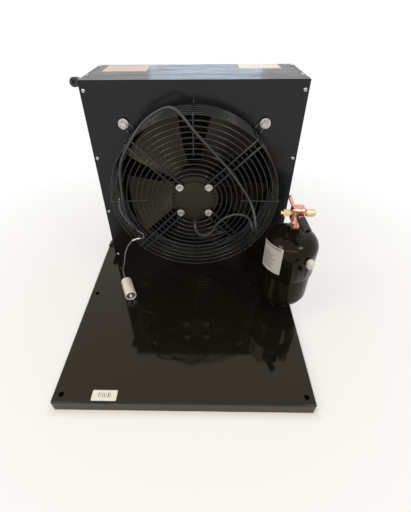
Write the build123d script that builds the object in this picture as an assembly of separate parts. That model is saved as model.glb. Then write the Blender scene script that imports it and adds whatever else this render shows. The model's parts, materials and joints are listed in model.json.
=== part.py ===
from build123d import *
import math
import os

# Air-cooled refrigeration condensing set: a finned condenser in a sheet-metal housing, an axial fan
# behind a wire guard, and a liquid receiver with its shut-off valve, all on one folded base plate.
# Millimetres. X to the right seen from the fan side, Y from the front edge of the plate to the coil,
# Z up. The origin is the middle of the four corner anchor holes, on the plate's upper surface.

# ---------------------------------------------------------------- driving dimensions
# base plate
PLATE_WIDTH = 584.0
PLATE_DEPTH = 684.0
PLATE_SHEET = 2.0
FLANGE_HEIGHT = 32.0
FLANGE_LIP = 12.0
PLATE_BEND = 3.0
ANCHOR_INSET = 19.0
ANCHOR_HOLE = 12.0
MIDDLE_ANCHOR_Y = -11.0

# condenser housing
HOUSING_HEIGHT = 540.0
HOUSING_DEPTH = 200.0
HOUSING_LEFT_MARGIN = 45.5
HOUSING_RIGHT_MARGIN = 6.5
HOUSING_REAR_MARGIN = 2.5
SHEET = 1.2
END_SHEET = 1.5
SHEET_GAP = 0.3
FLANGE_WIDTH = 22.0
TOP_SKIRT = 14.0
SCREW_EDGE = 9.6
SCREW_LOWEST = 30.0
SCREW_TOP_EDGE = 22.0
SCREWS_PER_SIDE = 4
SCREW_SIZE = 4.2
SCREW_HEAD = 9.2
SCREW_HEAD_HEIGHT = 3.1
SCREW_LENGTH = 8.0
SCREW_SIDES = 8
TOP_SCREW_EDGE = 7.5
TOP_SCREW_REAR_EDGE = 22.0
TOP_SCREW_PITCH = 124.0
FOOT_BOLT_SIZE = 6.0
FOOT_BOLT_PITCH = 120.0

# condenser coil
COIL_DEPTH = 50.0
COIL_ROWS = 2
COIL_REAR_EDGE = 10.0
COIL_CLEARANCE = 8.0
COIL_RIGHT_END = 32.0
FIN_COUNT = 44
FIN_THICKNESS = 2.2
FIN_PROUD = 20.0
TUBE = 9.5
TUBE_PITCH = 25.4
TUBE_ROWS = 20
BEND_REACH = 10.0
BEND_SIDES = 4
STUB_TUBE = 12.7
STUB_REACH = 21.0
INLET_STUB_Z = 529.0
OUTLET_STUB_Z = 38.0
STUB_FRONT = 38.0
INLET_CAP = 22.0
OUTLET_CAP = 16.0
STUB_CAP_LENGTH = 24.0
STUB_CAP_HOLE = 9.0

# fan opening and guard
FAN_HEIGHT = 271.5
THROAT_RADIUS = 203.0
BELL_RADIUS = 12.0
BELL_DEPTH = 38.0
GUARD_BOLT_PCD = 490.0
GUARD_BOLT_SIZE = 10.0
GUARD_BOLT_HEAD = 6.4
GUARD_NUT_HEIGHT = 8.0
GUARD_BOLT_END = 9.0
GUARD_WASHER = 26.0
GUARD_WASHER_THICKNESS = 2.4
GUARD_RADIUS = 215.0
GUARD_INNER_RADIUS = 72.0
FRONT_RINGS = 12
SIDE_RINGS = 5
RING_WIRE = 2.7
SPOKE_WIRE = 4.6
STAY_WIRE = 4.0
EYE_RADIUS = 8.8
GUARD_DEPTH = 80.0
STAY_INNER_RADIUS = 121.0
STAY_FOOT_RADIUS = 229.0
WELD = 0.2
WIRE_SEAT_GAP = 0.15
WIRE_BEND = 8.0
WIRE_SIDES = 6

# fan motor, with its outer shell turning round the fixed winding
MOTOR_BOLT_PCD = 104.6
MOTOR_BOLT_SIZE = 8.0
MOTOR_BOLT_HEAD = 5.3
MOTOR_BOLT_GRIP = 7.0
MOTOR_WASHER = 20.0
MOTOR_WASHER_THICKNESS = 2.0
MOTOR_FACE = 72.0
SHIELD_RADIUS = 62.5
SHIELD_DISC_RADIUS = 48.5
SHIELD_DEPTH = 20.0
SHIELD_WALL = 4.0
SHIELD_RIBS = 28
RIB_WIDTH = 2.4
BOSS_RADIUS = 10.5
CAN_RADIUS = 56.0
CAN_WALL = 3.0
CAN_LENGTH = 56.0
CAN_GAP = 1.5
SPIGOT_RADIUS = 14.0
BEARING_RADIUS = 11.0
BEARING_WIDTH = 7.0
BEARING_RUNNING_GAP = 0.05
SHAFT_RADIUS = 5.0
STATOR_RADIUS = 49.0
STATOR_LENGTH = 26.0
STATOR_SLOTS = 12
ROTOR_AIR_GAP = 0.5
WINDING_LENGTH = 7.0

# impeller
HUB_WALL = 2.5
HUB_LENGTH = 44.0
BLADE_COUNT = 5
FIRST_BLADE_ANGLE = 56.0
BLADE_TIP_GAP = 6.0
BLADE_THICKNESS = 2.2
BLADE_CENTRE_DEPTH = 12.0

# liquid receiver
RECEIVER_EDGE = 29.5
RECEIVER_Y = -32.5
RECEIVER_RADIUS = 67.0
RECEIVER_WALL = 3.2
RECEIVER_BOTTOM = 24.0
RECEIVER_TOP = 246.0
RECEIVER_CORNER = 38.0
LAP_Z = 134.0
LAP_LENGTH = 14.0
LAP_GAP = 0.1
BEAD = 4.0
FOOT_RADIUS = 31.0
FOOT_NECK_RADIUS = 24.0
FOOT_WALL = 3.0
FOOT_STUD = 10.0

# receiver valve
BOSS_HEIGHT = 12.0
VALVE_BOSS = 30.0
UNION_HEX = 22.0
UNION_HEIGHT = 20.0
VALVE_Z = 295.0
VALVE_WIDTH = 31.0
VALVE_DEPTH = 28.0
VALVE_HEIGHT = 32.0
CHAMBER_RADIUS = 6.5
CHAMBER_START = -3.0
CHAMBER_END = 12.0
SEAT_DEPTH = 8.5
PORT_RADIUS = 4.0
SPINDLE_RADIUS = 4.0
SPINDLE_RUNNING_GAP = 0.05
PLUG_RADIUS = 6.3
PLUG_LENGTH = 5.0
PLUG_SEAT_GAP = 0.3
SEAT_RADIUS = 3.5
DRILLING = 2.0
NECK_RADIUS = 6.0
NECK_LENGTH = 9.0
BRASS_CAP = 17.0
BRASS_CAP_LENGTH = 22.0
BRASS_CAP_WALL = 2.2
GAUGE_CAP_LENGTH = 17.0
GAUGE_TIP_LENGTH = 6.0
DIP_TUBE = 12.0
DIP_TUBE_LIFT = 12.0
OUTLET_TUBE = 12.7
OUTLET_CAP_RADIUS = 9.8
OUTLET_CAP_LENGTH = 46.0
OUTLET_CAP_BORE = 6.0
TAP_TUBE = 8.0
TAP_LENGTH = 34.0

# fittings on the receiver's side
SIDE_PORT_TUBE = 12.7
SIDE_PORT_ANGLE = -64.0
SIDE_PORT_Z = 196.0
SIDE_CAP_WIDTH = 23.0
SIDE_CAP_HEIGHT = 34.0
SIDE_CAP_DEPTH = 17.0
FUSE_ANGLE = -87.0
FUSE_Z = 203.0
FUSE_HEX = 13.0
STUD_ANGLE = -79.0
STUD_Z = 181.0
STUD_SIZE = 10.0

# run capacitor, lying on the plate
CAPACITOR_RADIUS = 16.0
CAPACITOR_LENGTH = 68.0
CAPACITOR_EDGE = 114.0
CAPACITOR_STAND_OFF = 145.0
CAPACITOR_TURN = 22.4
CAPACITOR_RIM = 2.0
CAPACITOR_STUD = 8.0

# cords
GLAND_RADIUS = 5.4
GLAND_TIP_RADIUS = 4.2
GLAND_LENGTH = 16.0
GLAND_SETBACK = 5.12
GLAND_DROP = 1.7
GLAND_DIRECTION = (0.04, -0.968, -0.249)
MOTOR_LEAD = 6.6
SUPPLY_TAIL = 5.4
SPLICE_LEAD = 2.8
CAPACITOR_LEAD = 3.2
CORD_SIDES = 6
SLEEVE_WIDTH = 8.0
SLEEVE_DEPTH = 13.6
CONNECTOR = 5.2
CONNECTOR_LENGTH = 9.0

HEX_SHARE = 1.6
REST_GAP = 0.05
SCREW_FIT = 0.2

# ---------------------------------------------------------------- places worked out from the sizes
PLATE_RIGHT = PLATE_WIDTH / 2
PLATE_REAR = PLATE_DEPTH / 2
HOUSING_RIGHT = PLATE_RIGHT - HOUSING_RIGHT_MARGIN
HOUSING_LEFT = HOUSING_LEFT_MARGIN - PLATE_WIDTH / 2
HOUSING_REAR = PLATE_REAR - HOUSING_REAR_MARGIN
PANEL_Y = HOUSING_REAR - HOUSING_DEPTH
FAN_X = (HOUSING_LEFT + HOUSING_RIGHT) / 2
FAN_PLACE = Pos(FAN_X, PANEL_Y, FAN_HEIGHT)
PANEL_BACK = PANEL_Y + SHEET
ROOF_UNDER = HOUSING_HEIGHT - SHEET
END_LEFT = HOUSING_LEFT + SHEET + SHEET_GAP
END_RIGHT = HOUSING_RIGHT - SHEET - SHEET_GAP
COIL_BACK = HOUSING_REAR - COIL_REAR_EDGE
COIL_FRONT = COIL_BACK - COIL_DEPTH
COIL_LEFT = END_LEFT + END_SHEET
COIL_RIGHT = END_RIGHT - COIL_RIGHT_END
COIL_BOTTOM = END_SHEET + COIL_CLEARANCE
COIL_TOP = ROOF_UNDER - END_SHEET - COIL_CLEARANCE
GUARD_BOLT_HALF = GUARD_BOLT_PCD / 2 / math.sqrt(2)
MOTOR_BOLT_HALF = MOTOR_BOLT_PCD / 2 / math.sqrt(2)
CORNER_RADIUS = GUARD_RADIUS + RING_WIRE / 2 + SPOKE_WIRE / 2 - WELD
EYE_TILT = (EYE_RADIUS + SPOKE_WIRE / 2) * (GUARD_DEPTH - MOTOR_FACE) / (CORNER_RADIUS - MOTOR_BOLT_PCD / 2) + REST_GAP
SHIELD_FRONT = -MOTOR_FACE + SPOKE_WIRE / 2 + EYE_TILT
GUARD_WASHER_FACE = SPOKE_WIRE + 2 * WIRE_SEAT_GAP
MOTOR_WASHER_FACE = MOTOR_FACE + SPOKE_WIRE / 2 + EYE_TILT
SHIELD_BACK = SHIELD_FRONT + SHIELD_DEPTH
CAN_FRONT = SHIELD_BACK + CAN_GAP
CAN_BACK = CAN_FRONT + CAN_LENGTH
RECEIVER_X = PLATE_RIGHT - RECEIVER_EDGE
RECEIVER_PLACE = Pos(RECEIVER_X, RECEIVER_Y, 0)
LOWER_RADIUS = RECEIVER_RADIUS - RECEIVER_WALL - LAP_GAP
BOSS_TOP = RECEIVER_TOP + BOSS_HEIGHT
VALVE_PLACE = Pos(RECEIVER_X, RECEIVER_Y, VALVE_Z)
VALVE_BOTTOM = VALVE_Z - VALVE_HEIGHT / 2
CAPACITOR_X = CAPACITOR_EDGE - PLATE_WIDTH / 2
CAPACITOR_Y = PANEL_Y - CAPACITOR_STAND_OFF
CAPACITOR_PLACE = Pos(CAPACITOR_X, CAPACITOR_Y, CAPACITOR_RADIUS + REST_GAP) * Rot(0, 0, CAPACITOR_TURN)


# ---------------------------------------------------------------- helpers
def block(low, high):
    """A box from its lowest to its highest corner."""
    size = [h - l for l, h in zip(low, high)]
    middle = [(h + l) / 2 for l, h in zip(low, high)]
    return Pos(*middle) * Box(*size)


def rod(radius, start, end):
    """A round bar from one point to another."""
    run = Vector(*end) - Vector(*start)
    place = Plane(origin=start, z_dir=run)
    return place * Cylinder(radius, run.length, align=(Align.CENTER, Align.CENTER, Align.MIN))


def tube(radius, bore, start, end):
    return rod(radius, start, end) - rod(bore, start, end)


def hexagon_bar(across_flats, start, end):
    """A hexagon bar from one point to another."""
    run = Vector(*end) - Vector(*start)
    place = Plane(origin=start, z_dir=run)
    section = RegularPolygon(across_flats / 2, 6, major_radius=False)
    return extrude(place * section, run.length)


def turned_upright(points):
    """A solid turned about Z from (radius, height) points."""
    return revolve(Plane.XZ * make_face(Polyline(*points, close=True)), Axis.Z)


def turned_axial(points):
    """A solid turned about Y from (radius, depth) points."""
    return revolve(make_face(Polyline(*points, close=True)), Axis.Y)


def pan_screw(shank_length):
    """A pan-head screw that points down -Z, with its head standing on z = 0, drawn with few flat sides."""
    radius = SCREW_HEAD / 2
    base = extrude(RegularPolygon(radius, SCREW_SIDES), SCREW_HEAD_HEIGHT * 0.6)
    crown = Pos(0, 0, SCREW_HEAD_HEIGHT * 0.6) * extrude(RegularPolygon(radius, SCREW_SIDES), SCREW_HEAD_HEIGHT * 0.4, taper=45)
    return base + crown + extrude(RegularPolygon(SCREW_SIZE / 2, SCREW_SIDES), -shank_length)


def wire_path_sweep(path, radius):
    """A wire along a path; its section has a few flat sides, one pair of them square to Y at the start."""
    start = path @ 0
    along = path % 0
    side = along.cross(Vector(0, 1, 0))
    place = Plane(origin=start, x_dir=side, z_dir=along)
    return sweep(place * RegularPolygon(radius, WIRE_SIDES, major_radius=False), path=path)


def spoke_depth(radius):
    """Depth in front of the panel of the spokes' wire at a radius from the fan's axis."""
    share = (radius - MOTOR_BOLT_PCD / 2) / (CORNER_RADIUS - MOTOR_BOLT_PCD / 2)
    return MOTOR_FACE + (GUARD_DEPTH - MOTOR_FACE) * share


def at_fan(shape):
    return FAN_PLACE * shape


def at_receiver(shape):
    return RECEIVER_PLACE * shape


def cross_points(half):
    """The four corners of a square on the fan's face."""
    return [(sx * half, sz * half) for sx in (-1, 1) for sz in (-1, 1)]


# ---------------------------------------------------------------- base plate
def anchor_points():
    x = PLATE_WIDTH / 2 - ANCHOR_INSET
    y = PLATE_DEPTH / 2 - ANCHOR_INSET
    return [(-x, -y), (x, -y), (-x, y), (x, y), (-x, MIDDLE_ANCHOR_Y), (x, MIDDLE_ANCHOR_Y)]


def foot_bolt_points():
    """Bolts that hold the housing's bottom flanges to the plate."""
    middle = (PANEL_Y + HOUSING_REAR) / 2
    left = END_LEFT + FLANGE_WIDTH * 0.6
    right = END_RIGHT - FLANGE_WIDTH * 0.6
    return [(x, middle + s * FOOT_BOLT_PITCH / 2) for x in (left, right) for s in (-1, 1)]


def make_base_plate():
    w, d, t = PLATE_WIDTH, PLATE_DEPTH, PLATE_SHEET
    tray = block((-w / 2, -d / 2, -FLANGE_HEIGHT), (w / 2, d / 2, 0))
    tray = fillet(tray.edges().filter_by(Axis.Z), PLATE_BEND)
    tray = fillet(tray.faces().sort_by(Axis.Z)[-1].edges(), PLATE_BEND)
    tray -= block((-w / 2 + t, -d / 2 + t, t - FLANGE_HEIGHT), (w / 2 - t, d / 2 - t, -t))
    lip = FLANGE_LIP
    tray -= block((-w / 2 + lip, -d / 2 + lip, -FLANGE_HEIGHT), (w / 2 - lip, d / 2 - lip, t - FLANGE_HEIGHT))
    for x, y in anchor_points():
        tray -= rod(ANCHOR_HOLE / 2, (x, y, -t), (x, y, 0))
    for x, y in foot_bolt_points():
        tray -= rod(FOOT_BOLT_SIZE / 2 + SCREW_FIT, (x, y, -t), (x, y, 0))
    tray -= rod(FOOT_STUD / 2 + SCREW_FIT, (RECEIVER_X, RECEIVER_Y, -t), (RECEIVER_X, RECEIVER_Y, 0))
    return tray


# ---------------------------------------------------------------- housing
def side_screw_heights():
    pitch = (HOUSING_HEIGHT - SCREW_TOP_EDGE - SCREW_LOWEST) / (SCREWS_PER_SIDE - 1)
    return [SCREW_LOWEST + i * pitch for i in range(SCREWS_PER_SIDE)]


def side_screw_points():
    xs = (HOUSING_LEFT + SCREW_EDGE, HOUSING_RIGHT - SCREW_EDGE)
    return [(x, z) for x in xs for z in side_screw_heights()]


def top_screw_points():
    last = HOUSING_REAR - TOP_SCREW_REAR_EDGE
    xs = (HOUSING_LEFT + TOP_SCREW_EDGE, HOUSING_RIGHT - TOP_SCREW_EDGE)
    return [(x, y) for x in xs for y in (last - TOP_SCREW_PITCH, last)]


def make_fan_panel():
    panel = block((HOUSING_LEFT, PANEL_Y, 0), (HOUSING_RIGHT, PANEL_BACK, ROOF_UNDER))
    foot = block((END_LEFT + FLANGE_WIDTH + 1, PANEL_BACK, 0), (END_RIGHT - FLANGE_WIDTH - 1, PANEL_Y + FLANGE_WIDTH, SHEET))
    head = Pos(0, 0, ROOF_UNDER - SHEET) * foot
    panel = panel + foot + head
    mouth = THROAT_RADIUS + BELL_RADIUS
    outline = [
        Line((mouth + SHEET, 0), (mouth, 0)),
        RadiusArc((mouth, 0), (THROAT_RADIUS, BELL_RADIUS), BELL_RADIUS),
        Line((THROAT_RADIUS, BELL_RADIUS), (THROAT_RADIUS, BELL_DEPTH)),
        Line((THROAT_RADIUS, BELL_DEPTH), (THROAT_RADIUS + SHEET, BELL_DEPTH)),
        Line((THROAT_RADIUS + SHEET, BELL_DEPTH), (THROAT_RADIUS + SHEET, BELL_RADIUS)),
        RadiusArc((THROAT_RADIUS + SHEET, BELL_RADIUS), (mouth, SHEET), -(BELL_RADIUS - SHEET)),
        Line((mouth, SHEET), (mouth + SHEET, SHEET)),
        Line((mouth + SHEET, SHEET), (mouth + SHEET, 0)),
    ]
    bell = revolve(make_face(outline), Axis.Y)
    panel -= at_fan(rod(mouth + SHEET, (0, 0, 0), (0, SHEET, 0)))
    panel += at_fan(bell)
    for x, z in cross_points(GUARD_BOLT_HALF):
        panel -= at_fan(rod(GUARD_BOLT_SIZE / 2 + SCREW_FIT, (x, 0, z), (x, SHEET, z)))
    for x, z in side_screw_points():
        panel -= rod(SCREW_SIZE / 2 + SCREW_FIT, (x, PANEL_Y, z), (x, PANEL_BACK, z))
    return panel


def make_top_panel():
    roof = block((HOUSING_LEFT, PANEL_Y, ROOF_UNDER), (HOUSING_RIGHT, HOUSING_REAR, HOUSING_HEIGHT))
    for x in (HOUSING_LEFT, HOUSING_RIGHT - SHEET):
        roof += block((x, PANEL_BACK + SHEET_GAP, ROOF_UNDER - TOP_SKIRT), (x + SHEET, HOUSING_REAR, ROOF_UNDER))
    roof += block((HOUSING_LEFT, HOUSING_REAR - SHEET, ROOF_UNDER - TOP_SKIRT), (HOUSING_RIGHT, HOUSING_REAR, ROOF_UNDER))
    for x, y in top_screw_points():
        roof -= rod(SCREW_SIZE / 2 + SCREW_FIT, (x, y, ROOF_UNDER), (x, y, HOUSING_HEIGHT))
    return roof


def make_end_plate(side):
    """A side of the housing, with flanges turned inwards. side is -1 at the left and 1 at the right."""
    outer = END_LEFT if side < 0 else END_RIGHT
    t, w = END_SHEET, FLANGE_WIDTH
    back = HOUSING_REAR - SHEET - SHEET_GAP

    def strip(reach, y0, y1, z0, z1):
        xs = sorted((outer, outer - side * reach))
        return block((xs[0], y0, z0), (xs[1], y1, z1))

    plate = strip(t, PANEL_BACK, back, 0, ROOF_UNDER)
    plate += strip(w, PANEL_BACK, PANEL_BACK + t, 0, ROOF_UNDER)
    plate += strip(w, PANEL_BACK, back, 0, t)
    plate += strip(w, PANEL_BACK, back, ROOF_UNDER - t, ROOF_UNDER)
    for x, z in side_screw_points():
        plate -= rod(SCREW_SIZE / 2 + SCREW_FIT, (x, PANEL_BACK, z), (x, PANEL_BACK + t, z))
    for x, y in top_screw_points():
        plate -= rod(SCREW_SIZE / 2 + SCREW_FIT, (x, y, ROOF_UNDER - t), (x, y, ROOF_UNDER))
    for x, y in foot_bolt_points():
        plate -= rod(FOOT_BOLT_SIZE / 2 + SCREW_FIT, (x, y, 0), (x, y, t))
    if side < 0:
        for row in coil_row_depths():
            plate -= strip(t, row - TUBE, row + TUBE, COIL_BOTTOM + TUBE_PITCH / 4, COIL_TOP - TUBE_PITCH / 4)
    return plate


def coil_row_depths():
    """Y of each row of tubes, from the front."""
    return [COIL_FRONT + (i + 0.5) * COIL_DEPTH / COIL_ROWS for i in range(COIL_ROWS)]


def make_side_panels():
    return make_end_plate(-1), make_end_plate(1)


def make_right_tube_sheet():
    """The coil's inner end plate, with a flange to the housing's right side."""
    sheet = block((COIL_RIGHT, COIL_FRONT - 8, COIL_BOTTOM), (COIL_RIGHT + END_SHEET, COIL_BACK, COIL_TOP))
    inner = END_RIGHT - END_SHEET
    sheet += block((COIL_RIGHT, COIL_BACK - END_SHEET, COIL_BOTTOM), (inner, COIL_BACK, COIL_TOP))
    return sheet


def make_fin_pack():
    """The finned core: fin edges stand proud at the front and the back of the tubes' zone."""
    width = COIL_RIGHT - COIL_LEFT
    pitch = (width - FIN_THICKNESS) / (FIN_COUNT - 1)
    core = block((COIL_LEFT, COIL_FRONT + FIN_PROUD, COIL_BOTTOM), (COIL_RIGHT, COIL_BACK - FIN_PROUD, COIL_TOP))
    fins = []
    for i in range(FIN_COUNT):
        x = COIL_LEFT + i * pitch
        fins.append(block((x, COIL_FRONT, COIL_BOTTOM), (x + FIN_THICKNESS, COIL_BACK, COIL_TOP)))
    return core + fins


def tube_heights():
    middle = (COIL_BOTTOM + COIL_TOP) / 2
    return [middle + (i - (TUBE_ROWS - 1) / 2) * TUBE_PITCH for i in range(TUBE_ROWS)]


def make_return_bends():
    """U-bends that join neighbouring tubes outside the left end of the coil."""
    heights = tube_heights()
    bends = []
    for count, row in enumerate(coil_row_depths()):
        for i in range((count + 1) % 2, TUBE_ROWS - 1, 2):
            low, high = heights[i], heights[i + 1]
            reach = COIL_LEFT - END_SHEET - BEND_REACH
            path = Line((COIL_LEFT, row, low), (reach, row, low))
            path += ThreePointArc((reach, row, low), (reach - TUBE_PITCH / 2, row, (low + high) / 2), (reach, row, high))
            path += Line((reach, row, high), (COIL_LEFT, row, high))
            place = Plane(origin=(COIL_LEFT, row, low), z_dir=(-1, 0, 0))
            bends.append(sweep(place * RegularPolygon(TUBE / 2, BEND_SIDES), path=path))
    return Compound(children=bends)


def header_stubs():
    """Height of the open end, tube joined and cap width of the inlet and the outlet."""
    return [(INLET_STUB_Z, TUBE_ROWS - 1, INLET_CAP), (OUTLET_STUB_Z, 0, OUTLET_CAP)]


def make_stub(height, tube_index):
    """A header stub from the front tube row, out of the left end and forwards."""
    depth = coil_row_depths()[0]
    level = tube_heights()[tube_index]
    x = COIL_LEFT - END_SHEET - STUB_REACH
    front = PANEL_Y + STUB_FRONT
    path = FilletPolyline((COIL_LEFT, depth, level), (x, depth, level), (x, front, height), radius=STUB_TUBE)
    place = Plane(origin=(COIL_LEFT, depth, level), z_dir=(-1, 0, 0))
    return sweep(place * Circle(STUB_TUBE / 2), path=path)


def make_stub_cap(height, tube_index, width):
    """A push-on rubber cap with a hole in its closed end."""
    depth = coil_row_depths()[0]
    level = tube_heights()[tube_index]
    x = COIL_LEFT - END_SHEET - STUB_REACH
    front = Vector(x, PANEL_Y + STUB_FRONT, height)
    along = (front - Vector(x, depth, level)).normalized()
    end = front + along * 6
    start = end - along * STUB_CAP_LENGTH
    cap = rod(width / 2, tuple(start), tuple(end))
    cap -= rod(STUB_TUBE / 2 + REST_GAP, tuple(start), tuple(front + along * REST_GAP))
    return cap - rod(STUB_CAP_HOLE / 2, tuple(front), tuple(end))


def make_panel_screws():
    front = [Pos(x, PANEL_Y, z) * Rot(90, 0, 0) * pan_screw(SCREW_LENGTH) for x, z in side_screw_points()]
    roof = [Pos(x, y, HOUSING_HEIGHT) * pan_screw(SCREW_LENGTH) for x, y in top_screw_points()]
    return Compound(children=front + roof)


def hex_bolt(size, length, head_height):
    """A hexagon bolt that points down -Z from a head standing on z = 0."""
    head = hexagon_bar(size * HEX_SHARE, (0, 0, 0), (0, 0, head_height))
    return head + rod(size / 2, (0, 0, 0), (0, 0, -length))


def make_foot_bolts():
    bolts = [Pos(x, y, END_SHEET) * hex_bolt(FOOT_BOLT_SIZE, 8, 4) for x, y in foot_bolt_points()]
    return Compound(children=bolts)


# ---------------------------------------------------------------- guard
def ring(radius, depth):
    """A guard ring, its wire drawn with four flats, at a depth in front of the panel."""
    half = RING_WIRE / 2
    return turned_axial([(radius - half, -depth - half), (radius + half, -depth - half), (radius + half, half - depth), (radius - half, half - depth)])


def front_ring_depth(radius):
    return spoke_depth(radius) - SPOKE_WIRE / 2 - RING_WIRE / 2 + WELD


def make_front_rings():
    pitch = (GUARD_RADIUS - GUARD_INNER_RADIUS) / (FRONT_RINGS - 1)
    radii = [GUARD_INNER_RADIUS + i * pitch for i in range(FRONT_RINGS)]
    return at_fan(Compound(children=[ring(r, front_ring_depth(r)) for r in radii]))


def make_side_rings():
    last = RING_WIRE
    first = front_ring_depth(GUARD_RADIUS)
    pitch = (first - last) / SIDE_RINGS
    return at_fan(Compound(children=[ring(GUARD_RADIUS, last + i * pitch) for i in range(SIDE_RINGS)]))


def spoke_half(side):
    """Half of a spoke's wire loop, from inside the motor bolt's eye to outside the guard bolt's eye."""
    eye = EYE_RADIUS
    inner, outer = MOTOR_BOLT_PCD / 2, GUARD_BOLT_PCD / 2
    panel_line = -SPOKE_WIRE / 2 - WIRE_SEAT_GAP
    corner = Vector(CORNER_RADIUS, -GUARD_DEPTH, 0)
    start = Vector(inner, -MOTOR_FACE, 0)
    run = (corner - start).normalized()
    lateral = Vector(0, 0, side)
    diagonal = math.sqrt(0.5)
    motor_eye = ThreePointArc(start - run * eye, start + (lateral - run) * (eye * diagonal), start + lateral * eye)
    end = Vector(outer, panel_line, 0)
    radial = Vector(1, 0, 0)
    bolt_eye = ThreePointArc(end + lateral * eye, end + (lateral + radial) * (eye * diagonal), end + radial * eye)
    offset = lateral * eye
    legs = FilletPolyline(start + offset, corner + offset, Vector(CORNER_RADIUS, panel_line, 0) + offset, end + offset, radius=WIRE_BEND)
    path = Wire([*motor_eye.edges(), *legs.edges(), *bolt_eye.edges()])
    return wire_path_sweep(path, SPOKE_WIRE / 2)


def make_spokes():
    loop = spoke_half(1) + spoke_half(-1)
    return at_fan(Compound(children=[Rot(0, angle, 0) * loop for angle in (45, 135, 225, 315)]))


def make_stays():
    """Short single wires at the top, bottom and sides, from the rings' face back to the panel."""
    wire = STAY_WIRE / 2
    lift = (SPOKE_WIRE - STAY_WIRE) / 2
    inner = Vector(STAY_INNER_RADIUS, lift - spoke_depth(STAY_INNER_RADIUS), 0)
    bend_radius = GUARD_RADIUS + RING_WIRE / 2 + wire - WELD
    corner = Vector(bend_radius, lift - spoke_depth(CORNER_RADIUS), 0)
    path = FilletPolyline(inner, corner, Vector(bend_radius, -wire, 0), Vector(STAY_FOOT_RADIUS, -wire, 0), radius=WIRE_BEND * 0.7)
    stay = wire_path_sweep(path.wire(), wire)
    return at_fan(Compound(children=[Rot(0, angle, 0) * stay for angle in (0, 90, 180, 270)]))


def washer(radius, hole, thickness):
    return rod(radius, (0, 0, 0), (0, 0, thickness)) - rod(hole, (0, 0, 0), (0, 0, thickness))


def on_face(shape, depth, half):
    """Four copies of a +Z fastener at a square's corners, turned to face the front at a depth."""
    return at_fan(Compound(children=[Pos(x, -depth, z) * Rot(90, 0, 0) * shape for x, z in cross_points(half)]))


def make_guard_washers():
    shape = washer(GUARD_WASHER / 2, GUARD_BOLT_SIZE / 2 + SCREW_FIT, GUARD_WASHER_THICKNESS)
    return on_face(shape, GUARD_WASHER_FACE, GUARD_BOLT_HALF)


def make_guard_bolts():
    length = GUARD_WASHER_FACE + GUARD_WASHER_THICKNESS + SHEET + GUARD_BOLT_END
    bolt = hex_bolt(GUARD_BOLT_SIZE, length, GUARD_BOLT_HEAD)
    return on_face(bolt, GUARD_WASHER_FACE + GUARD_WASHER_THICKNESS, GUARD_BOLT_HALF)


def make_guard_nuts():
    low = (0, 0, -GUARD_NUT_HEIGHT)
    nut = hexagon_bar(GUARD_BOLT_SIZE * HEX_SHARE, low, (0, 0, 0)) - rod(GUARD_BOLT_SIZE / 2 + REST_GAP, low, (0, 0, 0))
    return on_face(nut, -SHEET, GUARD_BOLT_HALF)


# ---------------------------------------------------------------- motor
def make_end_shield():
    """The motor's fixed end: a ribbed face, a rim and the tube that carries the bearings and winding."""
    face = SHIELD_FRONT + 2
    wall, rim = SHIELD_WALL, SHIELD_RADIUS
    tube_end = CAN_BACK - CAN_WALL - BEARING_WIDTH
    shield = turned_axial([
        (0, face), (SHIELD_DISC_RADIUS, face), (SHIELD_DISC_RADIUS, face + wall), (rim - 4, face + wall),
        (rim - 4, face + 1), (rim - 1, face + 1), (rim, face + 2), (rim, SHIELD_BACK), (rim - wall, SHIELD_BACK),
        (rim - wall, face + 2 * wall), (SPIGOT_RADIUS, face + 2 * wall), (SPIGOT_RADIUS, tube_end),
        (BEARING_RADIUS, tube_end), (BEARING_RADIUS, tube_end - BEARING_WIDTH),
        (BEARING_RADIUS - 2, tube_end - BEARING_WIDTH), (BEARING_RADIUS - 2, face + wall + BEARING_WIDTH + 2),
        (BEARING_RADIUS, face + wall + BEARING_WIDTH + 2), (BEARING_RADIUS, face + wall), (0, face + wall),
    ])
    rib = block((SHIELD_DISC_RADIUS - 1, face + 1, -RIB_WIDTH / 2), (rim - 3, face + wall + 0.5, RIB_WIDTH / 2))
    shield += [Rot(0, i * 360 / SHIELD_RIBS, 0) * rib for i in range(SHIELD_RIBS)]
    for x, z in cross_points(MOTOR_BOLT_HALF):
        shield += rod(BOSS_RADIUS, (x, SHIELD_FRONT, z), (x, face + 2 * wall, z))
    for x, z in cross_points(MOTOR_BOLT_HALF):
        shield -= rod(MOTOR_BOLT_SIZE / 2 + SCREW_FIT, (x, SHIELD_FRONT, z), (x, SHIELD_FRONT + 9, z))
    return at_fan(shield)


def make_motor_washers():
    shape = washer(MOTOR_WASHER / 2, MOTOR_BOLT_SIZE / 2 + SCREW_FIT, MOTOR_WASHER_THICKNESS)
    return on_face(shape, MOTOR_WASHER_FACE, MOTOR_BOLT_HALF)


def make_motor_bolts():
    bolt = hex_bolt(MOTOR_BOLT_SIZE, MOTOR_WASHER_THICKNESS + SPOKE_WIRE + 2 * EYE_TILT + MOTOR_BOLT_GRIP, MOTOR_BOLT_HEAD)
    return on_face(bolt, MOTOR_WASHER_FACE + MOTOR_WASHER_THICKNESS, MOTOR_BOLT_HALF)


def bearing_starts():
    front = SHIELD_FRONT + 2 + SHIELD_WALL
    back = CAN_BACK - CAN_WALL - 2 * BEARING_WIDTH
    return [front + 1, back]


def make_bearing_outer_rings():
    middle = (BEARING_RADIUS + SHAFT_RADIUS) / 2
    rings = [tube(BEARING_RADIUS - REST_GAP, middle, (0, y, 0), (0, y + BEARING_WIDTH, 0)) for y in bearing_starts()]
    return at_fan(Compound(children=rings))


def make_bearing_inner_rings():
    middle = (BEARING_RADIUS + SHAFT_RADIUS) / 2 - BEARING_RUNNING_GAP
    rings = [tube(middle, SHAFT_RADIUS, (0, y, 0), (0, y + BEARING_WIDTH, 0)) for y in bearing_starts()]
    return at_fan(Compound(children=rings))


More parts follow.
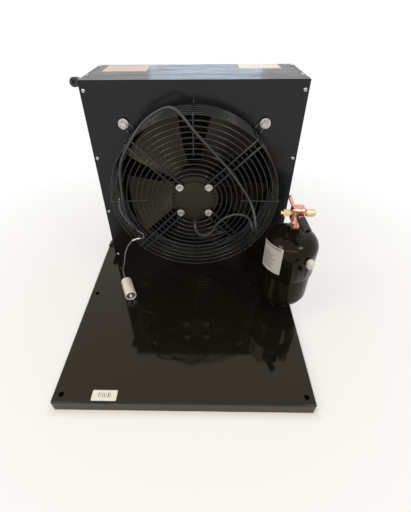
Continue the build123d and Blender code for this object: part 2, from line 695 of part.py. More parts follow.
def make_shaft():
    start = SHIELD_FRONT + 2 + SHIELD_WALL + 0.5
    return at_fan(rod(SHAFT_RADIUS, (0, start, 0), (0, CAN_BACK - CAN_WALL, 0)))


def stator_start():
    return (CAN_FRONT + CAN_BACK - CAN_WALL - STATOR_LENGTH) / 2


def make_stator():
    y0 = stator_start()
    y1 = y0 + STATOR_LENGTH
    core = tube(STATOR_RADIUS, SPIGOT_RADIUS + REST_GAP, (0, y0, 0), (0, y1, 0))
    slot = block((STATOR_RADIUS * 0.5, y0, -3), (STATOR_RADIUS + 1, y1, 3))
    core -= [Rot(0, i * 360 / STATOR_SLOTS, 0) * slot for i in range(STATOR_SLOTS)]
    return at_fan(core)


def make_windings():
    """The winding's two end turns, bound against the ends of the stator core."""
    y0 = stator_start()
    y1 = y0 + STATOR_LENGTH
    ends = [(y0 - WINDING_LENGTH, y0), (y1, y1 + WINDING_LENGTH)]
    rings = [tube(STATOR_RADIUS - 4, STATOR_RADIUS * 0.5, (0, a, 0), (0, b, 0)) for a, b in ends]
    return at_fan(Compound(children=rings))


def make_rotor_can():
    inner = CAN_RADIUS - CAN_WALL
    can = turned_axial([
        (SHAFT_RADIUS, CAN_BACK - CAN_WALL - 1), (SHAFT_RADIUS + 4, CAN_BACK - CAN_WALL - 1),
        (SHAFT_RADIUS + 4, CAN_BACK - CAN_WALL), (inner, CAN_BACK - CAN_WALL), (inner, CAN_FRONT),
        (CAN_RADIUS, CAN_FRONT), (CAN_RADIUS, CAN_BACK - 3), (CAN_RADIUS - 3, CAN_BACK),
        (0, CAN_BACK), (0, CAN_BACK - CAN_WALL + 0.2), (SHAFT_RADIUS, CAN_BACK - CAN_WALL + 0.2),
    ])
    return at_fan(can)


def make_rotor_cage():
    y0 = stator_start()
    outer = CAN_RADIUS - CAN_WALL
    return at_fan(tube(outer - REST_GAP, STATOR_RADIUS + ROTOR_AIR_GAP, (0, y0 - 3, 0), (0, y0 + STATOR_LENGTH + 3, 0)))


# ---------------------------------------------------------------- impeller
def blade_section(radius, chord, pitch_angle, sweep_angle, camber):
    """A cambered blade section on the plane square to the radius, as a thin curved strip."""
    lean = math.radians(pitch_angle)
    along = Vector(math.cos(lean), math.sin(lean), 0)
    across = Vector(-math.sin(lean), math.cos(lean), 0)
    shift = Vector(radius * math.tan(math.radians(sweep_angle)), BLADE_CENTRE_DEPTH, 0)
    half = BLADE_THICKNESS / 2
    nose, tail = shift - along * (chord / 2), shift + along * (chord / 2)
    top = ThreePointArc(nose + across * half * 0.5, shift + across * (camber + half), tail + across * half * 0.5)
    under = ThreePointArc(tail - across * half * 0.5, shift + across * (camber - half), nose - across * half * 0.5)
    section = make_face([top, Line(top @ 1, under @ 0), under, Line(under @ 1, top @ 0)])
    return Plane(origin=(0, 0, radius), x_dir=(1, 0, 0), z_dir=(0, 0, 1)) * section


def make_impeller():
    hub_inner = CAN_RADIUS + REST_GAP
    hub_outer = hub_inner + HUB_WALL
    tip = THROAT_RADIUS - BLADE_TIP_GAP
    hub_front = BLADE_CENTRE_DEPTH - HUB_LENGTH
    hub_back = CAN_BACK - 4
    hub = tube(hub_outer, hub_inner, (0, hub_front, 0), (0, hub_back, 0))
    sections = [
        blade_section(hub_inner - 8, 58, 44, -2, 4),
        blade_section(110, 104, 31, -1, 9),
        blade_section(160, 150, 23, 1, 12),
        blade_section(tip + 22, 200, 18, 4, 14),
    ]
    blade = loft(sections)
    blade &= tube(tip, hub_outer - 1, (0, -60, 0), (0, 90, 0))
    blades = [Rot(0, 90 - FIRST_BLADE_ANGLE - i * 360 / BLADE_COUNT, 0) * blade for i in range(BLADE_COUNT)]
    return at_fan(hub + blades)


# ---------------------------------------------------------------- receiver
def make_lower_shell():
    r, wall, bottom, corner = LOWER_RADIUS, RECEIVER_WALL, RECEIVER_BOTTOM, RECEIVER_CORNER
    top = LAP_Z + LAP_LENGTH
    k = corner * (1 - math.sqrt(0.5))
    ki = (corner - wall) * (1 - math.sqrt(0.5))
    outline = [
        Line((0, bottom), (r - corner, bottom)),
        ThreePointArc((r - corner, bottom), (r - k, bottom + k), (r, bottom + corner)),
        Line((r, bottom + corner), (r, top)),
        Line((r, top), (r - wall, top)),
        Line((r - wall, top), (r - wall, bottom + corner)),
        ThreePointArc((r - wall, bottom + corner), (r - wall - ki, bottom + wall + ki), (r - corner, bottom + wall)),
        Line((r - corner, bottom + wall), (0, bottom + wall)),
        Line((0, bottom + wall), (0, bottom)),
    ]
    shell = revolve(Plane.XZ * make_face(outline), Axis.Z)
    return at_receiver(shell)


def make_upper_shell():
    r, wall, top, corner = RECEIVER_RADIUS, RECEIVER_WALL, RECEIVER_TOP, RECEIVER_CORNER
    k = corner * (1 - math.sqrt(0.5))
    ki = (corner - wall) * (1 - math.sqrt(0.5))
    boss = VALVE_BOSS / 2 + REST_GAP
    dome = top - 5
    outline = [
        Line((r - wall, LAP_Z), (r, LAP_Z)),
        Line((r, LAP_Z), (r, dome - corner)),
        ThreePointArc((r, dome - corner), (r - k, dome - k), (r - corner, dome)),
        Line((r - corner, dome), (boss, top)),
        Line((boss, top), (boss, top - wall)),
        Line((boss, top - wall), (r - corner, dome - wall)),
        ThreePointArc((r - corner, dome - wall), (r - wall - ki, dome - wall - ki), (r - wall, dome - corner)),
        Line((r - wall, dome - corner), (r - wall, LAP_Z)),
    ]
    shell = revolve(Plane.XZ * make_face(outline), Axis.Z)
    for angle, height, radius in side_holes():
        shell -= side_rod(angle, height, radius, RECEIVER_RADIUS - 2 * wall, RECEIVER_RADIUS + 1)
    return at_receiver(shell)


def side_holes():
    """(angle, height, radius) of each fitting's hole in the upper shell."""
    return [
        (SIDE_PORT_ANGLE, SIDE_PORT_Z, SIDE_PORT_TUBE / 2 + REST_GAP),
        (FUSE_ANGLE, FUSE_Z, FUSE_HEX * 0.3 + REST_GAP),
    ]


def side_point(angle, height, distance):
    a = math.radians(angle)
    return (distance * math.cos(a), distance * math.sin(a), height)


def side_rod(angle, height, radius, inner, outer):
    """A round bar that points out of the receiver's side."""
    return rod(radius, side_point(angle, height, inner), side_point(angle, height, outer))


def make_weld_bead():
    """The fillet weld under the upper shell's skirt."""
    r = LOWER_RADIUS + REST_GAP
    return at_receiver(turned_upright([(r, LAP_Z - BEAD), (r + BEAD * 0.5, LAP_Z - BEAD * 0.7), (RECEIVER_RADIUS, LAP_Z), (r, LAP_Z)]))


def make_receiver_foot():
    """A pressed cup that carries the receiver's rounded bottom."""
    top = RECEIVER_BOTTOM
    outline = [
        (FOOT_RADIUS, 0), (FOOT_RADIUS, FOOT_WALL), (FOOT_NECK_RADIUS, 8), (FOOT_NECK_RADIUS, top),
        (FOOT_STUD / 2 + 1, top), (FOOT_STUD / 2 + 1, top - FOOT_WALL), (FOOT_NECK_RADIUS - FOOT_WALL, top - FOOT_WALL),
        (FOOT_NECK_RADIUS - FOOT_WALL, 6), (FOOT_RADIUS - 6, 0),
    ]
    return at_receiver(turned_upright(outline))


def make_foot_stud():
    """The stud under the receiver, through the foot and the plate."""
    return at_receiver(rod(FOOT_STUD / 2, (0, 0, -PLATE_SHEET - 11), (0, 0, RECEIVER_BOTTOM)))


def make_foot_nut():
    z = -PLATE_SHEET
    nut = hexagon_bar(FOOT_STUD * 1.6, (0, 0, z - 10), (0, 0, z - 2)) + rod(FOOT_STUD, (0, 0, z - 2), (0, 0, z))
    return at_receiver(nut - rod(FOOT_STUD / 2 + REST_GAP, (0, 0, z - 10), (0, 0, z)))


def make_valve_boss():
    """The threaded boss welded into the middle of the dome."""
    r = VALVE_BOSS / 2
    z0 = RECEIVER_TOP - RECEIVER_WALL
    boss = turned_upright([(0, z0), (r, z0), (r, BOSS_TOP - 2), (r - 2, BOSS_TOP), (0, BOSS_TOP)])
    return at_receiver(boss - rod(DIP_TUBE / 2 + REST_GAP, (0, 0, z0), (0, 0, BOSS_TOP)))


def make_dip_tube():
    bottom = RECEIVER_BOTTOM + RECEIVER_WALL + DIP_TUBE_LIFT
    return at_receiver(tube(DIP_TUBE / 2, DIP_TUBE / 2 - 1, (0, 0, bottom), (0, 0, BOSS_TOP)))


def make_union_nut():
    """The copper-coloured union between the boss and the valve."""
    z0, z1 = BOSS_TOP, BOSS_TOP + UNION_HEIGHT
    nut = hexagon_bar(UNION_HEX, (0, 0, z0), (0, 0, z0 + UNION_HEIGHT * 0.6))
    cone = turned_upright([(0, z0 + UNION_HEIGHT * 0.6), (UNION_HEX * 0.5, z0 + UNION_HEIGHT * 0.6), (UNION_HEX * 0.38, z1), (0, z1)])
    return at_receiver(nut + cone - rod(PORT_RADIUS, (0, 0, z0), (0, 0, z1)))


# ---------------------------------------------------------------- valve
def make_valve_body():
    half = VALVE_WIDTH / 2
    body = Box(VALVE_WIDTH, VALVE_DEPTH, VALVE_HEIGHT)
    body = chamfer(body.edges().filter_by(Axis.Z), 5)
    body = chamfer(body.faces().sort_by(Axis.Z)[-1].edges(), 3)
    body += rod(NECK_RADIUS, (half - 1, 0, 0), (half + NECK_LENGTH, 0, 0))
    body += rod(NECK_RADIUS, (-half - 7, 0, 0), (1 - half, 0, 0))
    end = BOSS_TOP + UNION_HEIGHT - VALVE_Z
    body += rod(UNION_HEX * 0.38, (0, 0, end), (0, 0, 1 - VALVE_HEIGHT / 2))
    seat_end = CHAMBER_START - SEAT_DEPTH
    body -= rod(CHAMBER_RADIUS, (CHAMBER_START, 0, 0), (CHAMBER_END, 0, 0))
    body -= rod(SPINDLE_RADIUS + SPINDLE_RUNNING_GAP, (CHAMBER_END - 1, 0, 0), (half + NECK_LENGTH, 0, 0))
    body -= rod(SEAT_RADIUS, (seat_end, 0, 0), (CHAMBER_START + 1, 0, 0))
    body -= rod(DRILLING, (-half - 7, 0, 0), (seat_end + 1, 0, 0))
    body -= rod(DRILLING, (0, 0, end), (seat_end + DRILLING, 0, 0))
    a, b = outlet_line(-VALVE_DEPTH / 2 + 3, 0)
    body -= rod(OUTLET_TUBE / 2 - 1, (CHAMBER_START + SEAT_DEPTH, 0, -2), a)
    body -= rod(OUTLET_TUBE / 2 + REST_GAP, a, b)
    c, d = tap_line(0)
    body -= rod(TAP_TUBE / 2 + REST_GAP, c, d)
    return VALVE_PLACE * body


OUTLET_DIRECTION = Vector(0.16, -0.96, -0.22).normalized()
TAP_DIRECTION = Vector(-0.45, 0.1, 0.88).normalized()


def outlet_line(start_depth, extra):
    """Two points on the outlet's axis, which leaves the front of the valve and slopes down a little."""
    origin = Vector(3, 0, -3)
    start = origin + OUTLET_DIRECTION * abs(start_depth)
    return tuple(start), tuple(origin + OUTLET_DIRECTION * (VALVE_DEPTH / 2 + 20 + extra))


def make_outlet_tube():
    a, b = outlet_line(-VALVE_DEPTH / 2 + 3, 0)
    return VALVE_PLACE * tube(OUTLET_TUBE / 2, OUTLET_TUBE / 2 - 1, a, b)


def make_outlet_cap():
    """The push-on rubber cap over the outlet tube, with a hole in its closed end."""
    _, b = outlet_line(-VALVE_DEPTH / 2 + 3, 0)
    end = Vector(*b) + OUTLET_DIRECTION * 22
    start = Vector(*b) - OUTLET_DIRECTION * (OUTLET_CAP_LENGTH - 30)
    cap = rod(OUTLET_CAP_RADIUS, tuple(start), tuple(end))
    cap -= rod(OUTLET_TUBE / 2 + REST_GAP, tuple(start), b)
    return VALVE_PLACE * (cap - rod(OUTLET_CAP_BORE, b, tuple(end)))


def tap_line(extra):
    """Two points on the axis of the open tapping tube at the valve's upper left."""
    start = Vector(-8, 6, 8)
    return tuple(start), tuple(start + TAP_DIRECTION * (TAP_LENGTH + extra))


def make_tap_tube():
    c, d = tap_line(0)
    return VALVE_PLACE * tube(TAP_TUBE / 2, TAP_TUBE / 2 - 1, c, d)


def make_valve_plug():
    """The seat plug, which slides along the chamber as the spindle screws in and out."""
    x0 = CHAMBER_START + PLUG_SEAT_GAP
    x1 = x0 + PLUG_LENGTH
    plug = turned_upright([(0, 0), (PLUG_RADIUS - 1.5, 0), (PLUG_RADIUS, 1.5), (PLUG_RADIUS, PLUG_LENGTH), (0, PLUG_LENGTH)])
    plug = Pos(x0, 0, 0) * Rot(0, 90, 0) * plug
    plug -= rod(SPINDLE_RADIUS * 0.75 + SPINDLE_RUNNING_GAP, (x1 - 3, 0, 0), (x1, 0, 0))
    return VALVE_PLACE * plug


def make_valve_spindle():
    """The spindle: a spigot in the plug, a round stem through the neck and a square end for the key."""
    pocket = CHAMBER_START + PLUG_SEAT_GAP + PLUG_LENGTH
    neck_end = VALVE_WIDTH / 2 + NECK_LENGTH
    spindle = rod(SPINDLE_RADIUS * 0.75, (pocket - 2.7, 0, 0), (pocket + 1, 0, 0))
    spindle += rod(SPINDLE_RADIUS, (pocket + 0.3, 0, 0), (neck_end + 1, 0, 0))
    square = SPINDLE_RADIUS * 1.3
    spindle += block((neck_end + 1, -square / 2, -square / 2), (neck_end + 6, square / 2, square / 2))
    return VALVE_PLACE * spindle


def make_spindle_cap():
    """The brass cap over the spindle: a hexagon behind a round dome."""
    r = BRASS_CAP / 2
    x0 = VALVE_WIDTH / 2 + 3.5
    x1 = x0 + BRASS_CAP_LENGTH
    cap = turned_upright([(0, 0), (r, 0), (r, BRASS_CAP_LENGTH - 4), (r - 1.5, BRASS_CAP_LENGTH - 1), (r - 4, BRASS_CAP_LENGTH), (0, BRASS_CAP_LENGTH)])
    cap = Pos(x0, 0, 0) * Rot(0, 90, 0) * cap
    return VALVE_PLACE * (cap - rod(NECK_RADIUS + REST_GAP, (x0, 0, 0), (x1 - BRASS_CAP_WALL, 0, 0)))


def make_gauge_cap():
    """The hexagon brass cap on the gauge port."""
    x0 = -VALVE_WIDTH / 2 - 1
    x1 = x0 - GAUGE_CAP_LENGTH
    cap = hexagon_bar(BRASS_CAP * 0.92, (x1, 0, 0), (x0 - 3, 0, 0))
    cap += rod(BRASS_CAP * 0.4, (x0 - 3, 0, 0), (x0, 0, 0))
    cap += rod(BRASS_CAP * 0.3, (x1 - GAUGE_TIP_LENGTH, 0, 0), (x1, 0, 0))
    return VALVE_PLACE * (cap - rod(NECK_RADIUS + REST_GAP, (x0 - 7, 0, 0), (x0, 0, 0)))


# ---------------------------------------------------------------- fittings on the receiver's side
def make_side_port():
    inner, outer = RECEIVER_RADIUS - 2 * RECEIVER_WALL, RECEIVER_RADIUS + 10
    port = side_rod(SIDE_PORT_ANGLE, SIDE_PORT_Z, SIDE_PORT_TUBE / 2, inner, outer)
    return at_receiver(port - side_rod(SIDE_PORT_ANGLE, SIDE_PORT_Z, SIDE_PORT_TUBE / 2 - 1, inner, outer))


def make_side_cap():
    """The rounded plastic transport cap over the side port."""
    near, far = RECEIVER_RADIUS + 1.5, RECEIVER_RADIUS + 1.5 + SIDE_CAP_DEPTH
    start = Vector(*side_point(SIDE_PORT_ANGLE, SIDE_PORT_Z, near))
    out = Vector(*side_point(SIDE_PORT_ANGLE, 0, 1))
    place = Plane(origin=start, x_dir=(0, 0, 1), z_dir=out)
    cap = extrude(place * SlotOverall(SIDE_CAP_HEIGHT, SIDE_CAP_WIDTH), SIDE_CAP_DEPTH)
    cap = fillet(cap.faces().sort_by(Axis(start, out))[-1].edges(), 4)
    return at_receiver(cap - side_rod(SIDE_PORT_ANGLE, SIDE_PORT_Z, SIDE_PORT_TUBE / 2 + REST_GAP, near - 1, RECEIVER_RADIUS + 10.2))


def make_fusible_plug():
    base = RECEIVER_RADIUS + 0.4
    a = side_point(FUSE_ANGLE, FUSE_Z, base)
    b = side_point(FUSE_ANGLE, FUSE_Z, base + 5)
    plug = hexagon_bar(FUSE_HEX, a, b)
    plug += side_rod(FUSE_ANGLE, FUSE_Z, FUSE_HEX * 0.3, RECEIVER_RADIUS - RECEIVER_WALL, base + 1)
    return at_receiver(plug)


def make_earth_stud():
    """A short threaded stud on the shell's side, with its nut."""
    base = RECEIVER_RADIUS + REST_GAP
    stud = side_rod(STUD_ANGLE, STUD_Z, STUD_SIZE * 0.3, base, base + 9)
    a = side_point(STUD_ANGLE, STUD_Z, base + 0.8)
    b = side_point(STUD_ANGLE, STUD_Z, base + 5)
    return at_receiver(stud + hexagon_bar(STUD_SIZE, a, b))


# ---------------------------------------------------------------- capacitor
def make_capacitor_case():
    """The moulded can, with a recessed end towards the front."""
    half = CAPACITOR_LENGTH / 2
    r = CAPACITOR_RADIUS
    case = turned_axial([
        (0, half), (r - 2, half), (r, half - 2), (r, 1 - half), (r - 1, -half), (r - CAPACITOR_RIM, -half),
        (r - CAPACITOR_RIM, 4 - half), (0, 4 - half),
    ])
    return CAPACITOR_PLACE * case


def make_capacitor_end():
    """The metal end disc with its fixing stud."""
    base = 4 - CAPACITOR_LENGTH / 2
    disc = rod(CAPACITOR_RADIUS - CAPACITOR_RIM - 1, (0, base, 0), (0, base - 1, 0))
    return CAPACITOR_PLACE * (disc + rod(CAPACITOR_STUD / 2, (0, base - 1, 0), (0, base - 11, 0)))


def make_capacitor_boss():
    """The moulded outlet for the leads, on the far end."""
    half = CAPACITOR_LENGTH / 2
    return CAPACITOR_PLACE * turned_axial([(0, half), (6, half), (4, half + 4), (0, half + 4)])


# ---------------------------------------------------------------- cords
CAPACITOR_EXIT = CAPACITOR_PLACE * Pos(0, CAPACITOR_LENGTH / 2 + 4, 0)
GLAND_AXIS = Vector(*GLAND_DIRECTION).normalized()
GLAND_SEAT = Vector(FAN_X, PANEL_Y + SHIELD_FRONT + GLAND_SETBACK, FAN_HEIGHT - SHIELD_RADIUS - GLAND_DROP)
GLAND_END = GLAND_SEAT + GLAND_AXIS * (GLAND_LENGTH / 2 + REST_GAP)

MOTOR_LEAD_ROUTE = [
    tuple(GLAND_END), tuple(GLAND_END + GLAND_AXIS * 6), (20.3, 56.8, 200.9), (20.9, 52.5, 196.7), (22.0, 49.3, 191.7),
    (24.3, 47.3, 186.3), (28.7, 46.3, 179.4), (35.7, 46.7, 173.7), (44.3, 47.9, 171.0), (53.6, 49.4, 171.8),
    (62.2, 50.6, 176.4), (70.0, 51.0, 186.4), (77.0, 51.0, 202.5), (89.0, 51.0, 217.5), (104.0, 51.0, 229.5),
    (125.0, 51.0, 238.5), (143.0, 51.0, 237.5), (158.8, 50.3, 232.2), (168.1, 49.3, 218.5), (172.2, 41.2, 207.8),
    (175.0, 29.5, 203.3), (176.7, 17.0, 205.6), (177.2, 7.4, 214.2), (176.7, 3.6, 226.4), (175.3, 6.7, 238.8),
    (173.1, 19.2, 251.1), (170.5, 33.0, 261.0), (165.5, 43.0, 273.0), (155.0, 50.0, 291.0), (137.0, 52.0, 318.0),
    (109.0, 52.0, 357.0), (71.0, 52.0, 401.0), (38.0, 51.0, 436.0), (16.0, 51.0, 462.0), (1.0, 54.0, 480.0),
    (-12.0, 61.0, 493.0), (-26.0, 70.0, 499.0), (-42.0, 77.0, 497.0), (-63.0, 80.0, 487.0), (-86.0, 74.0, 474.0),
    (-103.0, 62.0, 459.0), (-118.0, 52.0, 440.0), (-135.0, 48.5, 415.0), (-151.0, 51.0, 389.0), (-160.0, 52.0, 358.0),
    (-163.0, 52.6, 322.0), (-164.5, 52.9, 288.0), (-166.0, 54.1, 256.0), (-163.0, 54.0, 230.0), (-155.6, 53.4, 211.4),
]
SUPPLY_TAIL_ROUTE = [
    (-155.6, 47.2, 211.4), (-164.0, 47.0, 225.5), (-171.0, 46.5, 243.0), (-175.0, 46.5, 264.0), (-172.0, 47.0, 286.0),
]
SPLICE_LEAD_ROUTE = [
    (-142.8, 50.3, 190.0), (-138.5, 50.4, 183.0), (-125.3, 50.5, 176.3), (-122.7, 50.8, 167.5), (-124.7, 50.9, 161.6),
    (-129.8, 51.0, 158.0), (-136.0, 51.0, 158.0),
]
CAPACITOR_LEAD_ROUTE = [
    tuple(CAPACITOR_EXIT.position), (-194.4, 34.3, 16.0), (-197.9, 42.5, 17.3), (-203.0, 50.5, 23.0), (-203.5, 53.0, 32.0),
    (-202.0, 53.0, 43.1), (-195.0, 52.0, 62.0), (-190.0, 51.0, 84.0), (-185.0, 51.0, 105.0), (-177.0, 51.0, 124.0),
    (-168.0, 51.0, 140.0), (-157.5, 51.0, 150.5),
]
CONNECTOR_RUNS = [((-136.0, 51.0, 158.0), (-145.0, 51.0, 156.6)), ((-148.5, 51.0, 155.4), (-157.5, 51.0, 150.5))]


def cord_path(points):
    """Straight runs joined by arcs, each as large as the shorter of its two runs allows."""
    spots = [Vector(*p) for p in points]
    radii = []
    for before, at, after in zip(spots, spots[1:], spots[2:]):
        arriving, leaving = at - before, after - at
        turn = math.radians(arriving.get_angle(leaving))
        radii.append(0.45 * min(arriving.length, leaving.length) / math.tan(turn / 2))
    return FilletPolyline(*spots, radius=radii), radii


def make_cord(name, points, diameter):
    path, radii = cord_path(points)
    start = Plane(origin=path @ 0, z_dir=path % 0)
    section = RegularPolygon(diameter / 2, CORD_SIDES)
    cord = sweep(start * section, path=path.wire())
    share = cord.volume / (section.area * path.length)
    print(f"{name}: {path.length:.0f} mm long, smallest radius {min(radii):.1f} mm, volume share {share:.4f}")
    return cord


def make_lead_gland():
    """The tapered strain relief where the lead leaves the motor's rim."""
    place = Plane(origin=GLAND_SEAT, z_dir=GLAND_AXIS)
    gland = place * Cone(GLAND_RADIUS, GLAND_TIP_RADIUS, GLAND_LENGTH, align=(Align.CENTER, Align.CENTER, Align.CENTER))
    return gland - at_fan(rod(SHIELD_RADIUS + REST_GAP, (0, SHIELD_FRONT, 0), (0, SHIELD_BACK, 0)))


def make_splice_sleeve():
    """The flat sleeve that joins the motor lead, the supply tail and the splice lead."""
    top = Vector(-155.6, 50.3, 211.4)
    low = Vector(*SPLICE_LEAD_ROUTE[0])
    run = low - top
    place = Plane(origin=top, x_dir=(0, 1, 0), z_dir=run)
    return extrude(place * SlotOverall(SLEEVE_DEPTH, SLEEVE_WIDTH), run.length)


def make_connectors():
    """Crimp connectors between the splice lead and the capacitor's lead."""
    first, second = CONNECTOR_RUNS
    sleeves = [rod(CONNECTOR / 2, *first), rod(CONNECTOR / 2, *second), rod(SPLICE_LEAD / 2, first[1], second[0])]
    return sleeves[0] + sleeves[1] + sleeves[2]


# ---------------------------------------------------------------- assembly
def build():
    left, right = make_side_panels()
    return {
        "base_plate": make_base_plate(),
        "fan_panel": make_fan_panel(),
        "top_panel": make_top_panel(),
        "left_end_plate": left,
        "right_side_panel": right,
        "right_tube_sheet": make_right_tube_sheet(),
        "coil_fin_pack": make_fin_pack(),
        "return_bends": make_return_bends(),
        "header_stubs": Compound(children=[make_stub(z, i) for z, i, _ in header_stubs()]),
        "header_stub_caps": Compound(children=[make_stub_cap(*stub) for stub in header_stubs()]),
        "panel_screws": make_panel_screws(),
        "housing_foot_bolts": make_foot_bolts(),
        "guard_front_rings": make_front_rings(),
        "guard_side_rings": make_side_rings(),
        "guard_spokes": make_spokes(),
        "guard_stays": make_stays(),
        "guard_washers": make_guard_washers(),
        "guard_bolts": make_guard_bolts(),
        "guard_nuts": make_guard_nuts(),
        "motor_end_shield": make_end_shield(),
        "motor_washers": make_motor_washers(),
        "motor_bolts": make_motor_bolts(),
        "bearing_outer_rings": make_bearing_outer_rings(),
        "bearing_inner_rings": make_bearing_inner_rings(),
        "motor_shaft": make_shaft(),
        "stator_core": make_stator(),
        "stator_windings": make_windings(),
        "rotor_can": make_rotor_can(),
        "rotor_cage": make_rotor_cage(),
        "impeller": make_impeller(),
        "receiver_lower_shell": make_lower_shell(),
        "receiver_upper_shell": make_upper_shell(),
        "receiver_weld_bead": make_weld_bead(),
        "receiver_foot": make_receiver_foot(),
        "receiver_foot_stud": make_foot_stud(),
        "receiver_foot_nut": make_foot_nut(),
        "valve_boss": make_valve_boss(),
        "dip_tube": make_dip_tube(),
        "valve_union_nut": make_union_nut(),
        "valve_body": make_valve_body(),
        "valve_plug": make_valve_plug(),
        "valve_spindle": make_valve_spindle(),
        "spindle_cap": make_spindle_cap(),
        "gauge_port_cap": make_gauge_cap(),
        "outlet_tube": make_outlet_tube(),
        "outlet_tube_cap": make_outlet_cap(),
        "tapping_tube": make_tap_tube(),
        "side_port_tube": make_side_port(),
        "side_port_cap": make_side_cap(),
        "fusible_plug": make_fusible_plug(),
        "earth_stud": make_earth_stud(),
    }


def build_electrical():
    return {
        "capacitor_case": make_capacitor_case() + make_capacitor_boss(),
        "capacitor_end_disc": make_capacitor_end(),
        "lead_gland": make_lead_gland(),
        "motor_lead": make_cord("motor_lead", MOTOR_LEAD_ROUTE, MOTOR_LEAD),
        "supply_tail": make_cord("supply_tail", SUPPLY_TAIL_ROUTE, SUPPLY_TAIL),
        "splice_lead": make_cord("splice_lead", SPLICE_LEAD_ROUTE, SPLICE_LEAD),
        "capacitor_lead": make_cord("capacitor_lead", CAPACITOR_LEAD_ROUTE, CAPACITOR_LEAD),
        "splice_sleeve": make_splice_sleeve(),
        "lead_connectors": make_connectors(),
    }


os.makedirs("parts", exist_ok=True)
for node, shape in {**build(), **build_electrical()}.items():
    export_step(shape, f"parts/{node}.step")
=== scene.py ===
"""Looks of an air-cooled condensing set: coil housing, guarded fan, liquid receiver and base plate."""

import json
import math

import bmesh
import bpy
from mathutils import Matrix, Vector


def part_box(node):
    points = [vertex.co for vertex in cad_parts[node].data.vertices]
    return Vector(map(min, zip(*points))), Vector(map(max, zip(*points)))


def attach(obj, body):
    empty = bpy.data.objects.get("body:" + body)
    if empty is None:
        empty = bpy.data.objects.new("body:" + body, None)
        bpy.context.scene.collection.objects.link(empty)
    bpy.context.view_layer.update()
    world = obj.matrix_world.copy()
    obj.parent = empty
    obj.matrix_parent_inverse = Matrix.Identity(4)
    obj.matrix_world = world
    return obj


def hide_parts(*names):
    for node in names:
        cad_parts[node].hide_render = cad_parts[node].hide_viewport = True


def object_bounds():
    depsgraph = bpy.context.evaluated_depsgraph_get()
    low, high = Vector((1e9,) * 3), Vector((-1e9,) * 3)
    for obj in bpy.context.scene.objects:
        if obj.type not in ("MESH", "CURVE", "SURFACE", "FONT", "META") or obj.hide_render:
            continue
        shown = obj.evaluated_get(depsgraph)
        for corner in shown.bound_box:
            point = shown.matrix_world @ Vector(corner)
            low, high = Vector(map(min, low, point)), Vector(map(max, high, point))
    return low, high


bl_info = {
    "name": "Condensing Set",
    "version": (1, 0, 0),
    "blender": (4, 5, 0),
    "location": "View3D > Sidebar > Condensing Set",
    "description": "Dresses an air-cooled condensing set around its packed CAD frame",
    "category": "Object",
}

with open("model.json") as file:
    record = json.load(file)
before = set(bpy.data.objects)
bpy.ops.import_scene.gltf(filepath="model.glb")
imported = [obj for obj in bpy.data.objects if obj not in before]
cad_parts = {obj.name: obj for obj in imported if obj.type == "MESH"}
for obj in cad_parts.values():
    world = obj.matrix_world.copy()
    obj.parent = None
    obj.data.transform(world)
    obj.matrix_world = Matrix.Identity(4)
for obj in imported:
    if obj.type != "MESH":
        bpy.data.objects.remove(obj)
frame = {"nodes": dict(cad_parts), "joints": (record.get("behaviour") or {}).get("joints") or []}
NODES = frame["nodes"]
CAD_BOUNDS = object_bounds()
FAN_X, PANEL_Y, FAN_Z = frame["joints"][0]["pos_m"]
FAN_CENTRE = Vector((FAN_X, PANEL_Y, FAN_Z))
FRONTWARDS = Matrix.Rotation(math.radians(90), 4, "X")


# ---------------------------------------------------------------- sizes and colours a user may change
def colour(name, description, default):
    return bpy.props.FloatVectorProperty(
        name=name, description=description, subtype="COLOR", size=3, default=default, min=0, max=1)


class CondensingSetLook(bpy.types.PropertyGroup):
    """Colours and sizes of the condensing set."""

    enamel: colour("Black enamel", "Colour of the sheet metal", (0.0068, 0.0056, 0.0042))
    vessel: colour("Vessel enamel", "Colour of the receiver", (0.0062, 0.0048, 0.0032))
    blade: colour("Blade", "Colour of the fan blades", (0.015, 0.0135, 0.011))
    fin: colour("Fin", "Colour of the coil's fins", (0.034, 0.030, 0.022))
    copper: colour("Copper", "Colour of bare copper", (0.86, 0.43, 0.32))
    brass: colour("Brass", "Colour of the brass caps", (0.83, 0.62, 0.34))
    wire: bpy.props.FloatProperty(
        name="Ring wire", description="Diameter of the guard's rings", subtype="DISTANCE", unit="LENGTH",
        default=0.003, min=0.001, max=0.006)
    fins: bpy.props.IntProperty(
        name="Fins", description="Number of fins across the coil", default=200, min=40, max=320)


def look():
    return bpy.context.scene.condensing_set


# ---------------------------------------------------------------- shader nodes
def feed(tree, value, socket):
    """Sets a number on a socket, or links another socket to it."""
    if isinstance(value, (int, float)):
        socket.default_value = value
    else:
        tree.links.new(value, socket)


def noise(tree, place, scale, detail, rough=0.5, distortion=0.0):
    node = tree.nodes.new("ShaderNodeTexNoise")
    tree.links.new(place, node.inputs["Vector"])
    values = {"Scale": scale, "Detail": detail, "Roughness": rough, "Distortion": distortion}
    for name, value in values.items():
        feed(tree, value, node.inputs[name])
    return node.outputs["Fac"]


def math_node(tree, operation, a, b, clamp=False):
    node = tree.nodes.new("ShaderNodeMath")
    node.operation = operation
    node.use_clamp = clamp
    feed(tree, a, node.inputs[0])
    feed(tree, b, node.inputs[1])
    return node.outputs[0]


def ranged(tree, value, low, high, to_low, to_high):
    """A value from one range mapped to another, held at its ends."""
    node = tree.nodes.new("ShaderNodeMapRange")
    tree.links.new(value, node.inputs["Value"])
    for name, number in (("From Min", low), ("From Max", high), ("To Min", to_low), ("To Max", to_high)):
        node.inputs[name].default_value = number
    return node.outputs["Result"]


def mixed(tree, factor, a, b):
    """A mix of two colours."""
    node = tree.nodes.new("ShaderNodeMix")
    node.data_type = "RGBA"
    for name, value in (("Factor", factor), ("A", a), ("B", b)):
        tree.links.new(value, next(s for s in node.inputs if s.name == name and s.enabled))
    return next(s for s in node.outputs if s.enabled)


